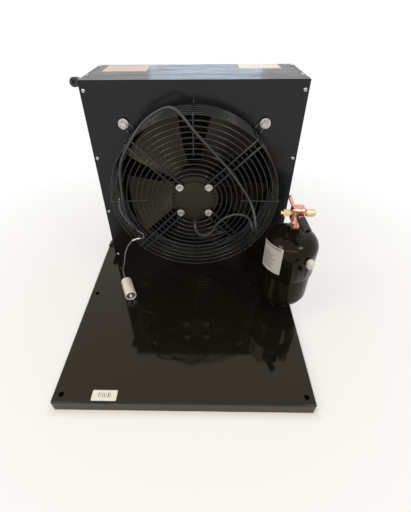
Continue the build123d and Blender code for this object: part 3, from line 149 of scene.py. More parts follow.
def axes(tree, vector):
    """The X, Y and Z of a vector, by name."""
    node = tree.nodes.new("ShaderNodeSeparateXYZ")
    tree.links.new(vector, node.inputs[0])
    return node.outputs


def object_place(tree):
    return tree.nodes.new("ShaderNodeTexCoord").outputs["Object"]


# ---------------------------------------------------------------- shared effects
DUST_COLOUR = (0.16, 0.14, 0.11)
TARNISH_COLOUR = (0.2, 0.15, 0.1)
DIRT_COLOUR = (0.1, 0.09, 0.07)


def new_group(name, colours, values):
    """An effect's node group, with the sockets that it is given and those that it gives."""
    group = bpy.data.node_groups.new(name, "ShaderNodeTree")
    kinds = {"NodeSocketColor": colours, "NodeSocketFloat": values}
    for kind, sockets in kinds.items():
        for socket, default in sockets.items():
            made = group.interface.new_socket(socket, in_out="INPUT", socket_type=kind)
            made.default_value = (*default, 1.0) if kind == "NodeSocketColor" else default
    for socket in ("Color", "Roughness", "Height"):
        kind = "NodeSocketColor" if socket == "Color" else "NodeSocketFloat"
        group.interface.new_socket(socket, in_out="OUTPUT", socket_type=kind)
    return group, group.nodes.new("NodeGroupInput").outputs, group.nodes.new("NodeGroupOutput").inputs


def make_enamel_group():
    """Sprayed or powder-coated paint: orange peel, wiped haze and settled dust."""
    group, given, out = new_group(
        "Sprayed enamel", {"Color": (0.01, 0.01, 0.01), "Dust Color": DUST_COLOUR},
        {"Roughness": 0.2, "Haze": 0.1, "Dust": 0.1, "Peel Scale": 260.0})
    place = object_place(group)
    cloudy = noise(group, place, 5.0, 4.0, 0.6, 0.4)
    wipe = group.nodes.new("ShaderNodeMapping")
    wipe.inputs["Scale"].default_value = (3.0, 14.0, 5.0)
    wipe.inputs["Rotation"].default_value = (0.0, 0.0, 0.5)
    group.links.new(place, wipe.inputs["Vector"])
    streaks = noise(group, wipe.outputs[0], 4.0, 6.0, 0.62, 0.8)
    specks = noise(group, place, 900.0, 2.0)
    haze = math_node(group, "MULTIPLY", ranged(group, streaks, 0.42, 0.72, 0.0, 1.0), given["Haze"])
    normal = group.nodes.new("ShaderNodeNewGeometry").outputs["Normal"]
    up = ranged(group, axes(group, normal)["Z"], 0.3, 1.0, 0.15, 1.0)
    settled = math_node(group, "MULTIPLY", up, ranged(group, cloudy, 0.35, 0.75, 0.25, 1.0))
    speckled = math_node(group, "MULTIPLY", settled, ranged(group, specks, 0.4, 0.75, 0.5, 1.0))
    dust = math_node(group, "MULTIPLY", speckled, given["Dust"], clamp=True)
    group.links.new(mixed(group, dust, given["Color"], given["Dust Color"]), out["Color"])
    hazed = math_node(group, "ADD", given["Roughness"], haze)
    dusty = math_node(group, "MULTIPLY", dust, 0.5)
    group.links.new(math_node(group, "ADD", hazed, dusty, clamp=True), out["Roughness"])
    group.links.new(noise(group, place, given["Peel Scale"], 1.5), out["Height"])
    return group


def worn(group, out, given, pattern, low, high, amount, worn_colour, roughening):
    """Mixes a second colour in by a noise pattern, rougher where it shows."""
    share = math_node(group, "MULTIPLY", ranged(group, pattern, low, high, 0.0, 1.0), given[amount])
    group.links.new(mixed(group, share, given["Color"], given[worn_colour]), out["Color"])
    rougher = math_node(group, "MULTIPLY", share, roughening)
    group.links.new(math_node(group, "ADD", given["Roughness"], rougher, clamp=True), out["Roughness"])


def make_metal_group():
    """Bare or plated metal: fine turning marks, tarnish patches and a varying polish."""
    group, given, out = new_group(
        "Plated metal", {"Color": (0.7, 0.7, 0.7), "Tarnish Color": TARNISH_COLOUR},
        {"Tarnish": 0.3, "Roughness": 0.25, "Scale": 120.0})
    place = object_place(group)
    patches = noise(group, place, given["Scale"], 5.0)
    worn(group, out, given, patches, 0.42, 0.68, "Tarnish", "Tarnish Color", 0.35)
    group.links.new(noise(group, place, 1400.0, 2.0, 0.6), out["Height"])
    return group


def make_moulded_group():
    """Moulded plastic, rubber or paper: fine grain, slight mottling and handling dirt."""
    group, given, out = new_group(
        "Moulded plastic", {"Color": (0.5, 0.5, 0.5), "Dirt Color": DIRT_COLOUR},
        {"Dirt": 0.2, "Roughness": 0.4, "Grain Scale": 700.0})
    place = object_place(group)
    mottling = noise(group, place, 60.0, 4.0, 0.6)
    worn(group, out, given, mottling, 0.4, 0.75, "Dirt", "Dirt Color", 0.3)
    group.links.new(noise(group, place, given["Grain Scale"], 2.0), out["Height"])
    return group


EFFECTS = {"enamel": make_enamel_group, "metal": make_metal_group, "moulded": make_moulded_group}
GROUPS = {}
RELIEF_DEPTH = 0.0004


def surface(name, effect, relief, values):
    """A material whose colour, roughness and relief come from a shared effect, and its shader's inputs."""
    if effect not in GROUPS:
        GROUPS[effect] = EFFECTS[effect]()
    made = bpy.data.materials.new(name)
    made.use_nodes = True
    tree = made.node_tree
    shader = tree.nodes["Principled BSDF"]
    group = tree.nodes.new("ShaderNodeGroup")
    group.node_tree = GROUPS[effect]
    for socket, value in values.items():
        if isinstance(value, str):
            value = tuple(getattr(look(), value))
        group.inputs[socket].default_value = (*value, 1.0) if isinstance(value, tuple) else value
    tree.links.new(group.outputs["Color"], shader.inputs["Base Color"])
    tree.links.new(group.outputs["Roughness"], shader.inputs["Roughness"])
    bump = tree.nodes.new("ShaderNodeBump")
    bump.inputs["Strength"].default_value = relief
    bump.inputs["Distance"].default_value = RELIEF_DEPTH
    tree.links.new(group.outputs["Height"], bump.inputs["Height"])
    tree.links.new(bump.outputs["Normal"], shader.inputs["Normal"])
    return made, shader.inputs


# ---------------------------------------------------------------- materials
NEUTRAL, WARM, COOL = (1.0, 1.0, 1.0), (1.0, 0.86, 0.60), (0.86, 0.88, 1.0)

# A colour given as a word is one of the user's colours.
# colour, roughness, haze, dust, relief, specular, tint of the gloss
ENAMELS = {
    "Base enamel": ("enamel", 0.035, 0.045, 0.012, 0.05, 0.38, WARM),
    "Housing enamel": ("enamel", 0.2, 0.10, 0.008, 0.07, 0.36, COOL),
    "Roof enamel": ("enamel", 0.12, 0.22, 0.03, 0.05, 0.14, NEUTRAL),
    "Guard enamel": ((0.011, 0.010, 0.009), 0.14, 0.1, 0.05, 0.04, 0.5, NEUTRAL),
    "Motor enamel": ((0.014, 0.013, 0.011), 0.35, 0.1, 0.06, 0.1, 0.4, WARM),
    "Vessel enamel": ("vessel", 0.10, 0.06, 0.015, 0.04, 0.17, WARM),
    "Blade": ("blade", 0.3, 0.1, 0.06, 0.05, 0.32, WARM),
}
# colour, tarnished colour, tarnish, roughness, relief, metallic, scale of the patches
METALS = {
    "Fin": ("fin", (0.02, 0.016, 0.012), 0.3, 0.45, 0.05, 0.3, 14.0),
    "Copper": ("copper", (0.35, 0.16, 0.1), 0.5, 0.22, 0.05, 1.0, 120.0),
    "Aged copper": ((0.11, 0.06, 0.04), (0.05, 0.03, 0.02), 0.5, 0.45, 0.05, 0.8, 120.0),
    "Brass": ("brass", (0.4, 0.27, 0.1), 0.35, 0.2, 0.05, 1.0, 120.0),
    "Zinc plate": ((0.56, 0.55, 0.53), (0.3, 0.28, 0.25), 0.5, 0.25, 0.05, 1.0, 120.0),
    # a darker copy of the zinc plate: painted shade on the lower guard bolts
    "Dark plate": ((0.12, 0.115, 0.105), (0.04, 0.035, 0.03), 0.5, 0.35, 0.05, 0.9, 120.0),
    "Bearing steel": ((0.62, 0.62, 0.63), TARNISH_COLOUR, 0.1, 0.15, 0.02, 1.0, 120.0),
    "Lamination": ((0.3, 0.3, 0.31), TARNISH_COLOUR, 0.3, 0.4, 0.08, 0.8, 120.0),
    "Winding": ((0.45, 0.17, 0.06), TARNISH_COLOUR, 0.3, 0.35, 0.2, 0.6, 120.0),
    "Conductor": ((0.82, 0.68, 0.62), TARNISH_COLOUR, 0.1, 0.35, 0.05, 0.6, 120.0),
}
# colour, colour of the dirt, dirt, roughness, relief
MOULDINGS = {
    "Black rubber": ((0.012, 0.012, 0.012), (0.05, 0.045, 0.04), 0.2, 0.45, 0.15),
    "White plastic": ((0.72, 0.69, 0.62), (0.35, 0.31, 0.24), 0.18, 0.3, 0.05),
    "Cap plastic": ((0.62, 0.58, 0.55), (0.4, 0.36, 0.3), 0.12, 0.28, 0.05),
    "Cable": ((0.026, 0.026, 0.027), (0.08, 0.07, 0.06), 0.2, 0.38, 0.08),
    "Tail cable": ((0.05, 0.055, 0.065), (0.1, 0.09, 0.08), 0.2, 0.4, 0.08),
    "Thin wire": ((0.16, 0.16, 0.17), (0.08, 0.07, 0.06), 0.2, 0.4, 0.08),
    "Label paper": ((0.8, 0.78, 0.74), (0.5, 0.45, 0.38), 0.2, 0.42, 0.03),
    "Grey label": ((0.50, 0.47, 0.43), (0.36, 0.32, 0.27), 0.2, 0.42, 0.03),
    "Beige label": ((0.66, 0.55, 0.46), (0.4, 0.32, 0.26), 0.25, 0.4, 0.03),
    "Print": ((0.09, 0.085, 0.08), DIRT_COLOUR, 0.1, 0.5, 0.02),
}
MATERIALS = {}


def make_material(name):
    if name in ENAMELS:
        base, roughness, haze, dust, relief, specular, tint = ENAMELS[name]
        made, shader = surface(name, "enamel", relief, {
            "Color": base, "Roughness": roughness, "Haze": haze, "Dust": dust})
        shader["Specular IOR Level"].default_value = specular
        shader["Specular Tint"].default_value = (*tint, 1.0)
    elif name in METALS:
        base, tarnished, tarnish, roughness, relief, metallic, scale = METALS[name]
        made, shader = surface(name, "metal", relief, {
            "Color": base, "Tarnish Color": tarnished, "Tarnish": tarnish, "Roughness": roughness,
            "Scale": scale})
        shader["Metallic"].default_value = metallic
    else:
        base, dirty, dirt, roughness, relief = MOULDINGS[name]
        made, _ = surface(name, "moulded", relief, {
            "Color": base, "Dirt Color": dirty, "Dirt": dirt, "Roughness": roughness})
    return made


def material(name):
    """The named finish, made once."""
    if name not in MATERIALS:
        MATERIALS[name] = make_material(name)
    return MATERIALS[name]


# ---------------------------------------------------------------- mesh helpers
def link(name, mesh, finish, record_slot, smooth, *replaced):
    """Puts a mesh in the scene as a piece of the still part, in place of the CAD nodes it replaces."""
    obj = bpy.data.objects.new(name, mesh)
    bpy.context.scene.collection.objects.link(obj)
    mesh.materials.append(material(finish))
    mesh.polygons.foreach_set("use_smooth", [True] * len(mesh.polygons))
    mesh.set_sharp_from_angle(angle=math.radians(smooth))
    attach(obj, "chassis")
    if replaced:
        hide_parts(*replaced)
    return obj


def piece(name, bm, finish, record_slot, smooth, *replaced):
    """Merges and closes a finished bmesh, and links it."""
    bmesh.ops.remove_doubles(bm, verts=bm.verts, dist=1e-6)
    bmesh.ops.recalc_face_normals(bm, faces=bm.faces)
    mesh = bpy.data.meshes.new(name)
    bm.to_mesh(mesh)
    bm.free()
    return link(name, mesh, finish, record_slot, smooth, *replaced)


def moved(x=0.0, y=0.0, z=0.0):
    return Matrix.Translation((x, y, z))


def turned_by(degrees, axis):
    return Matrix.Rotation(math.radians(degrees), 4, axis)


def aim(direction):
    """A rotation that takes +Z to a direction."""
    return Vector(direction).normalized().to_track_quat("Z", "Y").to_matrix().to_4x4()


def join(bm, part, place):
    """Adds a part's faces to bm at a place."""
    bmesh.ops.transform(part, matrix=place, verts=part.verts)
    mesh = bpy.data.meshes.new("part")
    part.to_mesh(mesh)
    part.free()
    bm.from_mesh(mesh)
    bpy.data.meshes.remove(mesh)


def bevelled(bm, edges, width, segments=2):
    bmesh.ops.bevel(bm, geom=edges, offset=width, offset_type="OFFSET", affect="EDGES", segments=segments,
                    profile=0.5, material=-1)


def sharp_edges(bm, degrees):
    return [e for e in bm.edges if len(e.link_faces) == 2 and e.calc_face_angle(0) > math.radians(degrees)]


def rise(edge):
    """How far an edge climbs."""
    return abs((edge.verts[0].co - edge.verts[1].co).z)


def spun(part, geom, steps, angle=2 * math.pi):
    """Turns a profile about Z, merged where a full turn closes."""
    bmesh.ops.spin(part, geom=geom, cent=(0, 0, 0), axis=(0, 0, 1), angle=angle, steps=steps,
                   use_merge=angle == 2 * math.pi, use_duplicate=False)


def add_block(bm, size, centre=(0, 0, 0)):
    """A block about its centre, as its vertices."""
    verts = bmesh.ops.create_cube(bm, size=1.0)["verts"]
    bmesh.ops.scale(bm, verts=verts, vec=size)
    bmesh.ops.translate(bm, verts=verts, vec=centre)
    return verts


def add_prism(bm, sides, radius, height, place):
    """A prism that stands on its place's origin and rises along its Z."""
    part = bmesh.new()
    bmesh.ops.create_cone(part, cap_ends=True, segments=sides, radius1=radius, radius2=radius, depth=height)
    bmesh.ops.translate(part, verts=part.verts, vec=(0, 0, height / 2))
    join(bm, part, place)


def add_turned(bm, profile, place, around):
    """A solid turned about its place's Z from (radius, height) points."""
    part = bmesh.new()
    verts = [part.verts.new((r, 0, z)) for r, z in profile]
    edges = [part.edges.new(pair) for pair in zip(verts, verts[1:])]
    spun(part, [*verts, *edges], around)
    bmesh.ops.remove_doubles(part, verts=part.verts, dist=1e-7)
    join(bm, part, place)


def wire_mesh(name, routes, wire):
    """Round wires along polylines, as one mesh."""
    curve = bpy.data.curves.new(name, "CURVE")
    curve.dimensions = "3D"
    curve.bevel_depth = wire / 2
    curve.bevel_resolution = 2
    curve.use_fill_caps = True
    for points in routes:
        spline = curve.splines.new("POLY")
        spline.points.add(len(points) - 1)
        for spot, at in zip(spline.points, points):
            spot.co = (*at, 1.0)
    obj = bpy.data.objects.new(name, curve)
    bpy.context.scene.collection.objects.link(obj)
    mesh = bpy.data.meshes.new_from_object(obj)
    bpy.data.objects.remove(obj)
    return mesh


def arc(centre, start, end, steps=8):
    """Points on the arc from centre + start to centre + end."""
    axis, angle = start.cross(end).normalized(), start.angle(end)
    return [centre + Matrix.Rotation(angle * i / steps, 3, axis) @ start for i in range(steps + 1)]


def rounded(points, radius):
    """A polyline whose corners are turned into arcs."""
    spots = [Vector(p) for p in points]
    out = [spots[0]]
    for before, at, after in zip(spots, spots[1:], spots[2:]):
        a, b = (before - at).normalized(), (after - at).normalized()
        half = a.angle(b) / 2
        reach = min(radius / math.tan(half), (before - at).length * 0.49, (after - at).length * 0.49)
        centre = at + (a + b).normalized() * (reach * math.tan(half) / math.sin(half))
        out += arc(centre, at + a * reach - centre, at + b * reach - centre, 5)
    out.append(spots[-1])
    return out


def fan_point(angle, radius, depth, lateral=0.0):
    """A point before the fan panel: angle from the right, radius from the axis, depth to the front."""
    a = math.radians(angle)
    out = Vector((math.cos(a), 0, math.sin(a)))
    side = Vector((-math.sin(a), 0, math.cos(a)))
    return FAN_CENTRE + out * radius + side * lateral + Vector((0, -depth, 0))


# ---------------------------------------------------------------- guard
MOTOR_BOLT_CIRCLE, GUARD_BOLT_CIRCLE = 0.1046, 0.490
RINGS = 12
FIRST_RING, LAST_RING = 0.072, 0.215
SIDE_RINGS = 5
NEAREST_SIDE_RING = 0.0027
RING_STEPS, RING_SECTION = 96, 8
SPOKE, SPOKE_BEND, SPOKE_GAP = 0.0046, 0.008, 0.00015
STAY, STAY_BEND, STAY_CLEARANCE = 0.004, 0.0056, 0.00135
STAY_START, STAY_END = 0.121, 0.229
EYE = 0.0088
MOTOR_FACE, GUARD_DEPTH = 0.072, 0.080
CORNER = 0.21845
WELD = 0.0002


def spoke_depth(radius):
    inner = MOTOR_BOLT_CIRCLE / 2
    return MOTOR_FACE + (GUARD_DEPTH - MOTOR_FACE) * (radius - inner) / (CORNER - inner)


def front_ring_depth(radius):
    return spoke_depth(radius) - SPOKE / 2 - look().wire / 2 + WELD


def add_ring(bm, radius, depth):
    """A round wire ring about the fan's axis."""
    part = bmesh.new()
    section = bmesh.ops.create_circle(part, segments=RING_SECTION, radius=look().wire / 2)["verts"]
    bmesh.ops.rotate(part, verts=section, cent=(0, 0, 0), matrix=turned_by(90, "X").to_3x3())
    bmesh.ops.translate(part, verts=section, vec=(radius, 0, 0))
    spun(part, part.verts[:] + part.edges[:], RING_STEPS)
    join(bm, part, Matrix.Translation(FAN_CENTRE) @ moved(y=-depth) @ FRONTWARDS)


def make_guard_rings():
    bm = bmesh.new()
    for i in range(RINGS):
        radius = FIRST_RING + (LAST_RING - FIRST_RING) * i / (RINGS - 1)
        add_ring(bm, radius, front_ring_depth(radius))
    piece("guard_front_rings_look", bm, "Guard enamel", "black_guard", 60, "guard_front_rings")
    bm = bmesh.new()
    spread = front_ring_depth(LAST_RING) - NEAREST_SIDE_RING
    for i in range(SIDE_RINGS):
        add_ring(bm, LAST_RING, NEAREST_SIDE_RING + spread * i / SIDE_RINGS)
    piece("guard_side_rings_look", bm, "Guard enamel", "black_guard", 60, "guard_side_rings")


def spoke_loop(angle):
    """One paired spoke: a closed wire round the motor bolt and the guard bolt."""
    inner, outer = MOTOR_BOLT_CIRCLE / 2, GUARD_BOLT_CIRCLE / 2
    foot = SPOKE / 2 + SPOKE_GAP
    near, far = fan_point(angle, inner, MOTOR_FACE), fan_point(angle, CORNER, GUARD_DEPTH)
    run = (far - near).normalized()
    out = fan_point(angle, 1, 0) - fan_point(angle, 0, 0)
    lateral = fan_point(angle, 0, 0, 1) - fan_point(angle, 0, 0, 0)
    points = []
    for side in (1, -1):
        across = lateral * EYE * side
        eye = arc(near, -run * EYE, across)
        legs = rounded([near + across, far + across, fan_point(angle, CORNER, foot, EYE * side),
                        fan_point(angle, outer, foot, EYE * side)], SPOKE_BEND)
        end = arc(fan_point(angle, outer, foot), across, out * EYE)
        half = eye[:-1] + legs + end[1:]
        points += half if side > 0 else list(reversed(half))[1:]
    return points


def stay_route(angle):
    """One stay: along the front rings, then back beside the side rings to its foot on the panel."""
    lift = (SPOKE - STAY) / 2
    bend = LAST_RING + STAY_CLEARANCE + STAY / 2 - WELD
    return rounded([fan_point(angle, STAY_START, spoke_depth(STAY_START) - lift),
                    fan_point(angle, bend, spoke_depth(CORNER) - lift),
                    fan_point(angle, bend, STAY / 2), fan_point(angle, STAY_END, STAY / 2)], STAY_BEND)


def make_guard_spokes():
    spokes = wire_mesh("guard_spokes_look", [spoke_loop(angle) for angle in (45, 135, 225, 315)], SPOKE)
    link("guard_spokes_look", spokes, "Guard enamel", "black_guard", 60, "guard_spokes")
    stays = wire_mesh("guard_stays_look", [stay_route(angle) for angle in (0, 90, 180, 270)], STAY)
    link("guard_stays_look", stays, "Guard enamel", "black_guard", 60, "guard_stays")


# ---------------------------------------------------------------- fasteners
# washer radius, its hole's radius, hexagon across flats, shank radius
GUARD_BOLT = (0.013, 0.0053, 0.016, 0.00495)
MOTOR_BOLT = (0.010, 0.0043, 0.013, 0.00395)
WASHER_SIDES = 40
WASHER_EDGE = 0.28
# shares of a hexagon's width: where its crown falls off, which corners are cut back, and how far out they end
CROWN_START, CORNER_START, CORNER_END = 0.46, 0.52, 0.4995
CROWN_SLOPE = 0.9
DISH_INSET, DISH_RIM, DISH_DEPTH = 0.12, 0.04, 0.08
SCREW_HEAD, SCREW_HEIGHT, SCREW_CORE, SCREW_LENGTH = 0.0046, 0.0031, 0.0021, 0.008
# half length, half width and thickness of the dark cross that stands as painted shade for each screw's recess
CROSS_LONG, CROSS_SHORT, CROSS_DEEP = 0.0022, 0.0004, 0.0004
EDGE_INSET, ROOF_INSET, ROOF_SCREW_PITCH = 0.0096, 0.0075, 0.124
LOWEST_SCREW, FAR_INSET = 0.030, 0.022


def add_hex_head(bm, across_flats, height, place):
    """A hexagon bolt head with its chamfered crown and a shallow dish in its top."""
    part = bmesh.new()
    corner = across_flats / math.sqrt(3)
    bmesh.ops.create_cone(part, cap_ends=True, segments=6, radius1=corner, radius2=corner, depth=height)
    bmesh.ops.translate(part, verts=part.verts, vec=(0, 0, height / 2))
    bmesh.ops.subdivide_edges(part, edges=[e for e in part.edges if rise(e) < 1e-9], cuts=2)
    for v in part.verts:
        out = v.co.xy
        over = out.length - across_flats * CROWN_START
        if v.co.z > height * 0.9 and over > 0:
            v.co.z -= over * CROWN_SLOPE
            if out.length > across_flats * CORNER_START:
                v.co.xy = out.normalized() * across_flats * CORNER_END
    top = max(part.faces, key=lambda f: f.calc_center_median().z if len(f.verts) > 6 else -1)
    bmesh.ops.inset_region(part, faces=[top], thickness=across_flats * DISH_INSET, depth=0)
    bmesh.ops.inset_region(part, faces=[top], thickness=across_flats * DISH_RIM, depth=-height * DISH_DEPTH)
    join(bm, part, place)


def add_washer(bm, radius, hole, thickness, place):
    part = bmesh.new()
    for rim in (radius, hole):
        bmesh.ops.create_circle(part, segments=WASHER_SIDES, radius=rim)
    bmesh.ops.bridge_loops(part, edges=part.edges[:])
    made = bmesh.ops.extrude_face_region(part, geom=part.faces[:])["geom"]
    raised = [v for v in made if isinstance(v, bmesh.types.BMVert)]
    bmesh.ops.translate(part, verts=raised, vec=(0, 0, thickness))
    bmesh.ops.recalc_face_normals(part, faces=part.faces)
    outer = [e for e in sharp_edges(part, 60) if e.verts[0].co.xy.length > radius * 0.98]
    bevelled(part, outer, thickness * WASHER_EDGE)
    join(bm, part, place)


def bolt_places(circle, depth):
    """The places of four bolts, each tightened to a turn of its own."""
    half = circle / 2 / math.sqrt(2)
    return [Matrix.Translation(FAN_CENTRE) @ moved(sx * half, -depth, sz * half) @ FRONTWARDS
            @ turned_by(11 * sx + 23 * sz, "Z") for sx in (-1, 1) for sz in (-1, 1)]


def stack(washers, bolts):
    """The washers' depth before the panel, their thickness, the heads' height and the shanks' length."""
    washer_low, washer_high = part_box(washers)
    bolt_low, bolt_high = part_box(bolts)
    return (FAN_CENTRE.y - washer_high.y, washer_high.y - washer_low.y,
            washer_low.y - bolt_low.y, bolt_high.y - washer_low.y)


def add_bolt(bm, place, sizes, thick, head, shank):
    washer, hole, across_flats, stem = sizes
    add_washer(bm, washer, hole, thick, place)
    over = place @ moved(z=thick)
    add_hex_head(bm, across_flats, head, over)
    add_prism(bm, 16, stem, shank, over @ moved(z=-shank))


def make_guard_bolts():
    """The guard's bolts, of which the lower two get a darker copy of the zinc plate as painted shade."""
    depth, *heights = stack("guard_washers", "guard_bolts")
    upper, lower = bmesh.new(), bmesh.new()
    for place in bolt_places(GUARD_BOLT_CIRCLE, depth):
        add_bolt(upper if place.translation.z > FAN_CENTRE.z else lower, place, GUARD_BOLT, *heights)
    piece("guard_bolts_upper_look", upper, "Zinc plate", "zinc_steel", 35, "guard_bolts", "guard_washers")
    # the lower bolts take the darker copy of the zinc plate, as painted shade
    piece("guard_bolts_lower_look", lower, "Dark plate", "zinc_steel", 35)


def make_motor_bolts():
    depth, *heights = stack("motor_washers", "motor_bolts")
    bm = bmesh.new()
    for place in bolt_places(MOTOR_BOLT_CIRCLE, depth):
        add_bolt(bm, place, MOTOR_BOLT, *heights)
    piece("motor_bolts_look", bm, "Zinc plate", "zinc_steel", 35, "motor_bolts", "motor_washers")


def screw_places():
    """The places of the housing's screws: the front edges first, then the roof's ends."""
    low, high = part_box("fan_panel")
    roof_low, roof_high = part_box("top_panel")
    heights = [LOWEST_SCREW + i * (roof_high.z - FAR_INSET - LOWEST_SCREW) / 3 for i in range(4)]
    rear = roof_high.y - FAR_INSET
    sides = (low.x + EDGE_INSET, high.x - EDGE_INSET)
    ends = (roof_low.x + ROOF_INSET, roof_high.x - ROOF_INSET)
    front = [moved(x, low.y, z) @ FRONTWARDS for x in sides for z in heights]
    return front + [moved(x, y, roof_high.z) for x in ends for y in (rear - ROOF_SCREW_PITCH, rear)]


def make_screws():
    """Pan-head screws, each driven to a turn of its own, with a flush dark cross of painted shade where each
    cross recess is.
    """
    heads, recess_shade = bmesh.new(), bmesh.new()
    r, h = SCREW_HEAD, SCREW_HEIGHT
    dome = [(0, h), (r * 0.35, h), (r * 0.7, h * 0.93), (r * 0.9, h * 0.72), (r, h * 0.4), (r, 0), (0, 0)]
    for i, place in enumerate(screw_places()):
        driven = place @ turned_by(17 + 41 * i, "Z")
        add_turned(heads, dome, driven, 28)
        add_prism(heads, 12, SCREW_CORE, SCREW_LENGTH, place @ moved(z=-SCREW_LENGTH))
        # a flush dark cross in print colour, painted shade in place of the cross recess
        for x, y in ((CROSS_LONG, CROSS_SHORT), (CROSS_SHORT, CROSS_LONG)):
            part = bmesh.new()
            add_block(part, (2 * x, 2 * y, CROSS_DEEP + 0.00002), (0, 0, h - CROSS_DEEP / 2 + 0.00001))
            join(recess_shade, part, driven)
    piece("panel_screws_look", heads, "Zinc plate", "zinc_steel", 35, "panel_screws")
    piece("panel_screw_recesses_look", recess_shade, "Print", "zinc_steel", 35)


# ---------------------------------------------------------------- coil
COIL_ROWS, TUBES, TUBE_PITCH = 2, 20, 0.0254
TUBE = 0.0095
TUBE_OVERHANG = 0.001
FIN_THICK = 0.0004
SHADE_THICK, SHADE_INSET = 0.002, 0.001

# height of each header stub's open end and the way that it points; how far the ends are behind the panel and
# how far their axes are from the left of their caps
STUB_ENDS = ((0.529, Vector((0, -0.1145, 0.0183))), (0.038, Vector((0, -0.1145, 0.0099))))
STUB_SET_BACK = 0.038
STUB_IN = 0.011
# radius, thickness and gap before the copper end of the black discs that are painted shade in the caps' holes
BORE_SHADE_RADIUS, BORE_SHADE_THICK, BORE_SHADE_GAP = 0.0044, 0.001, 0.0002


def coil_tubes(low, high):
    """(row, tube, y, z) of every tube in the coil's box."""
    middle = (low.z + high.z) / 2
    for row in range(COIL_ROWS):
        y = low.y + (row + 0.5) * (high.y - low.y) / COIL_ROWS
        for i in range(TUBES):
            yield row, i, y, middle + (i - (TUBES - 1) / 2) * TUBE_PITCH


def make_fins():
    """Thin fins on round tubes, and a plate in their middle that keeps daylight from showing between them."""
    low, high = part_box("coil_fin_pack")
    middle, size = (low + high) / 2, high - low
    bm = bmesh.new()
    pitch = (size.x - FIN_THICK) / (look().fins - 1)
    for i in range(look().fins):
        add_block(bm, (FIN_THICK, size.y, size.z), (low.x + FIN_THICK / 2 + i * pitch, middle.y, middle.z))
    piece("coil_fins_look", bm, "Fin", "fin_aluminium", 30, "coil_fin_pack")
    bm = bmesh.new()
    for _, _, y, z in coil_tubes(low, high):
        place = moved(low.x - TUBE_OVERHANG, y, z) @ turned_by(90, "Y")
        add_prism(bm, 12, TUBE / 2, size.x + 2 * TUBE_OVERHANG, place)
    piece("coil_tubes_look", bm, "Aged copper", "copper", 40)
    bm = bmesh.new()
    add_block(bm, (size.x - 2 * SHADE_INSET, SHADE_THICK, size.z - 2 * SHADE_INSET), middle)
    piece("coil_fin_shade_look", bm, "Fin", "fin_aluminium", 30)


def make_bends():
    """Return bends between neighbouring tubes, round in section."""
    low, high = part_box("coil_fin_pack")
    half = TUBE_PITCH / 2
    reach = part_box("return_bends")[0].x + half + TUBE / 2
    down, out, up = Vector((0, 0, -half)), Vector((-half, 0, 0)), Vector((0, 0, half))
    routes = []
    for row, i, y, z in coil_tubes(low, high):
        if i % 2 != row % 2 and i < TUBES - 1:
            centre = Vector((reach, y, z + half))
            bend = arc(centre, down, out, 6) + arc(centre, out, up, 6)[1:]
            routes.append([Vector((low.x, y, z)), *bend, Vector((low.x, y, z + TUBE_PITCH))])
    mesh = wire_mesh("return_bends_look", routes, TUBE)
    link("return_bends_look", mesh, "Copper", "copper", 60, "return_bends")


def make_bore_shades():
    """Dark discs of painted shade in the transport caps' holes, in front of the copper ends."""
    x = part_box("header_stub_caps")[0].x + STUB_IN
    bm = bmesh.new()
    for height, direction in STUB_ENDS:
        way = direction.normalized()
        end = Vector((x, PANEL_Y + STUB_SET_BACK, height)) + way * BORE_SHADE_GAP
        add_prism(bm, 32, BORE_SHADE_RADIUS, BORE_SHADE_THICK, Matrix.Translation(end) @ aim(way))
    piece("stub_cap_bottoms_look", bm, "Black rubber", "black_rubber", 35)


# ---------------------------------------------------------------- labels
PAPER = 0.0002
PAPER_CORNER = 0.002
BAR_WIDTHS = (0.03, 0.012, 0.022, 0.03, 0.012, 0.04, 0.022)
BAR_START, BAR_STEP, BAR_LENGTH, BAR_THICK = 0.28, 0.075, 0.010, 0.0001

RECEIVER_LABEL_HEIGHTS = (0.152, 0.231)
RECEIVER_LABEL_ANGLES = (-170.0, -118.7)
# start, end, height and half thickness of each grey bar, as shares of the label
RECEIVER_BARS = (
    (0.10, 0.90, 0.93, 0.020), (0.06, 0.40, 0.72, 0.012), (0.06, 0.62, 0.64, 0.012),
    (0.06, 0.55, 0.56, 0.012), (0.06, 0.70, 0.48, 0.012), (0.06, 0.48, 0.40, 0.012),
    (0.06, 0.66, 0.32, 0.012), (0.06, 0.52, 0.24, 0.012), (0.06, 0.60, 0.16, 0.012))


def make_flat_labels():
    """Blank stickers on the roof, and one on the plate with grey bars in place of wording."""
    roof_low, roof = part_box("top_panel")
    plate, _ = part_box("base_plate")
    # finish, left, right, front, back and underside
    stickers = {
        "roof_label_left_look": (
            "Beige label", roof_low.x + 0.0301, roof_low.x + 0.1438, roof.y - 0.098, roof.y - 0.008, roof.z),
        "roof_label_right_look": (
            "Label paper", roof.x - 0.151, roof.x - 0.0435, roof.y - 0.067, roof.y - 0.0025, roof.z),
        "plate_label_look": (
            "Label paper", plate.x + 0.0887, plate.x + 0.1447, plate.y + 0.0055, plate.y + 0.030, 0.0),
    }
    for name, (finish, left, right, front, back, under) in stickers.items():
        bm = bmesh.new()
        centre = ((left + right) / 2, (front + back) / 2, under + PAPER / 2)
        add_block(bm, (right - left, back - front, PAPER), centre)
        bevelled(bm, [e for e in bm.edges if rise(e) > PAPER * 0.9], PAPER_CORNER, 3)
        piece(name, bm, finish, "white_plastic", 30)
    _, left, right, front, back, under = stickers["plate_label_look"]
    bm = bmesh.new()
    for i, width in enumerate(BAR_WIDTHS):
        x = left + (right - left) * (BAR_START + BAR_STEP * i)
        add_block(bm, ((right - left) * width, BAR_LENGTH, BAR_THICK),
                  (x, (front + back) / 2 + 0.001, under + PAPER + BAR_THICK / 2))
    piece("plate_label_bars_look", bm, "Print", "black_sheet", 30)


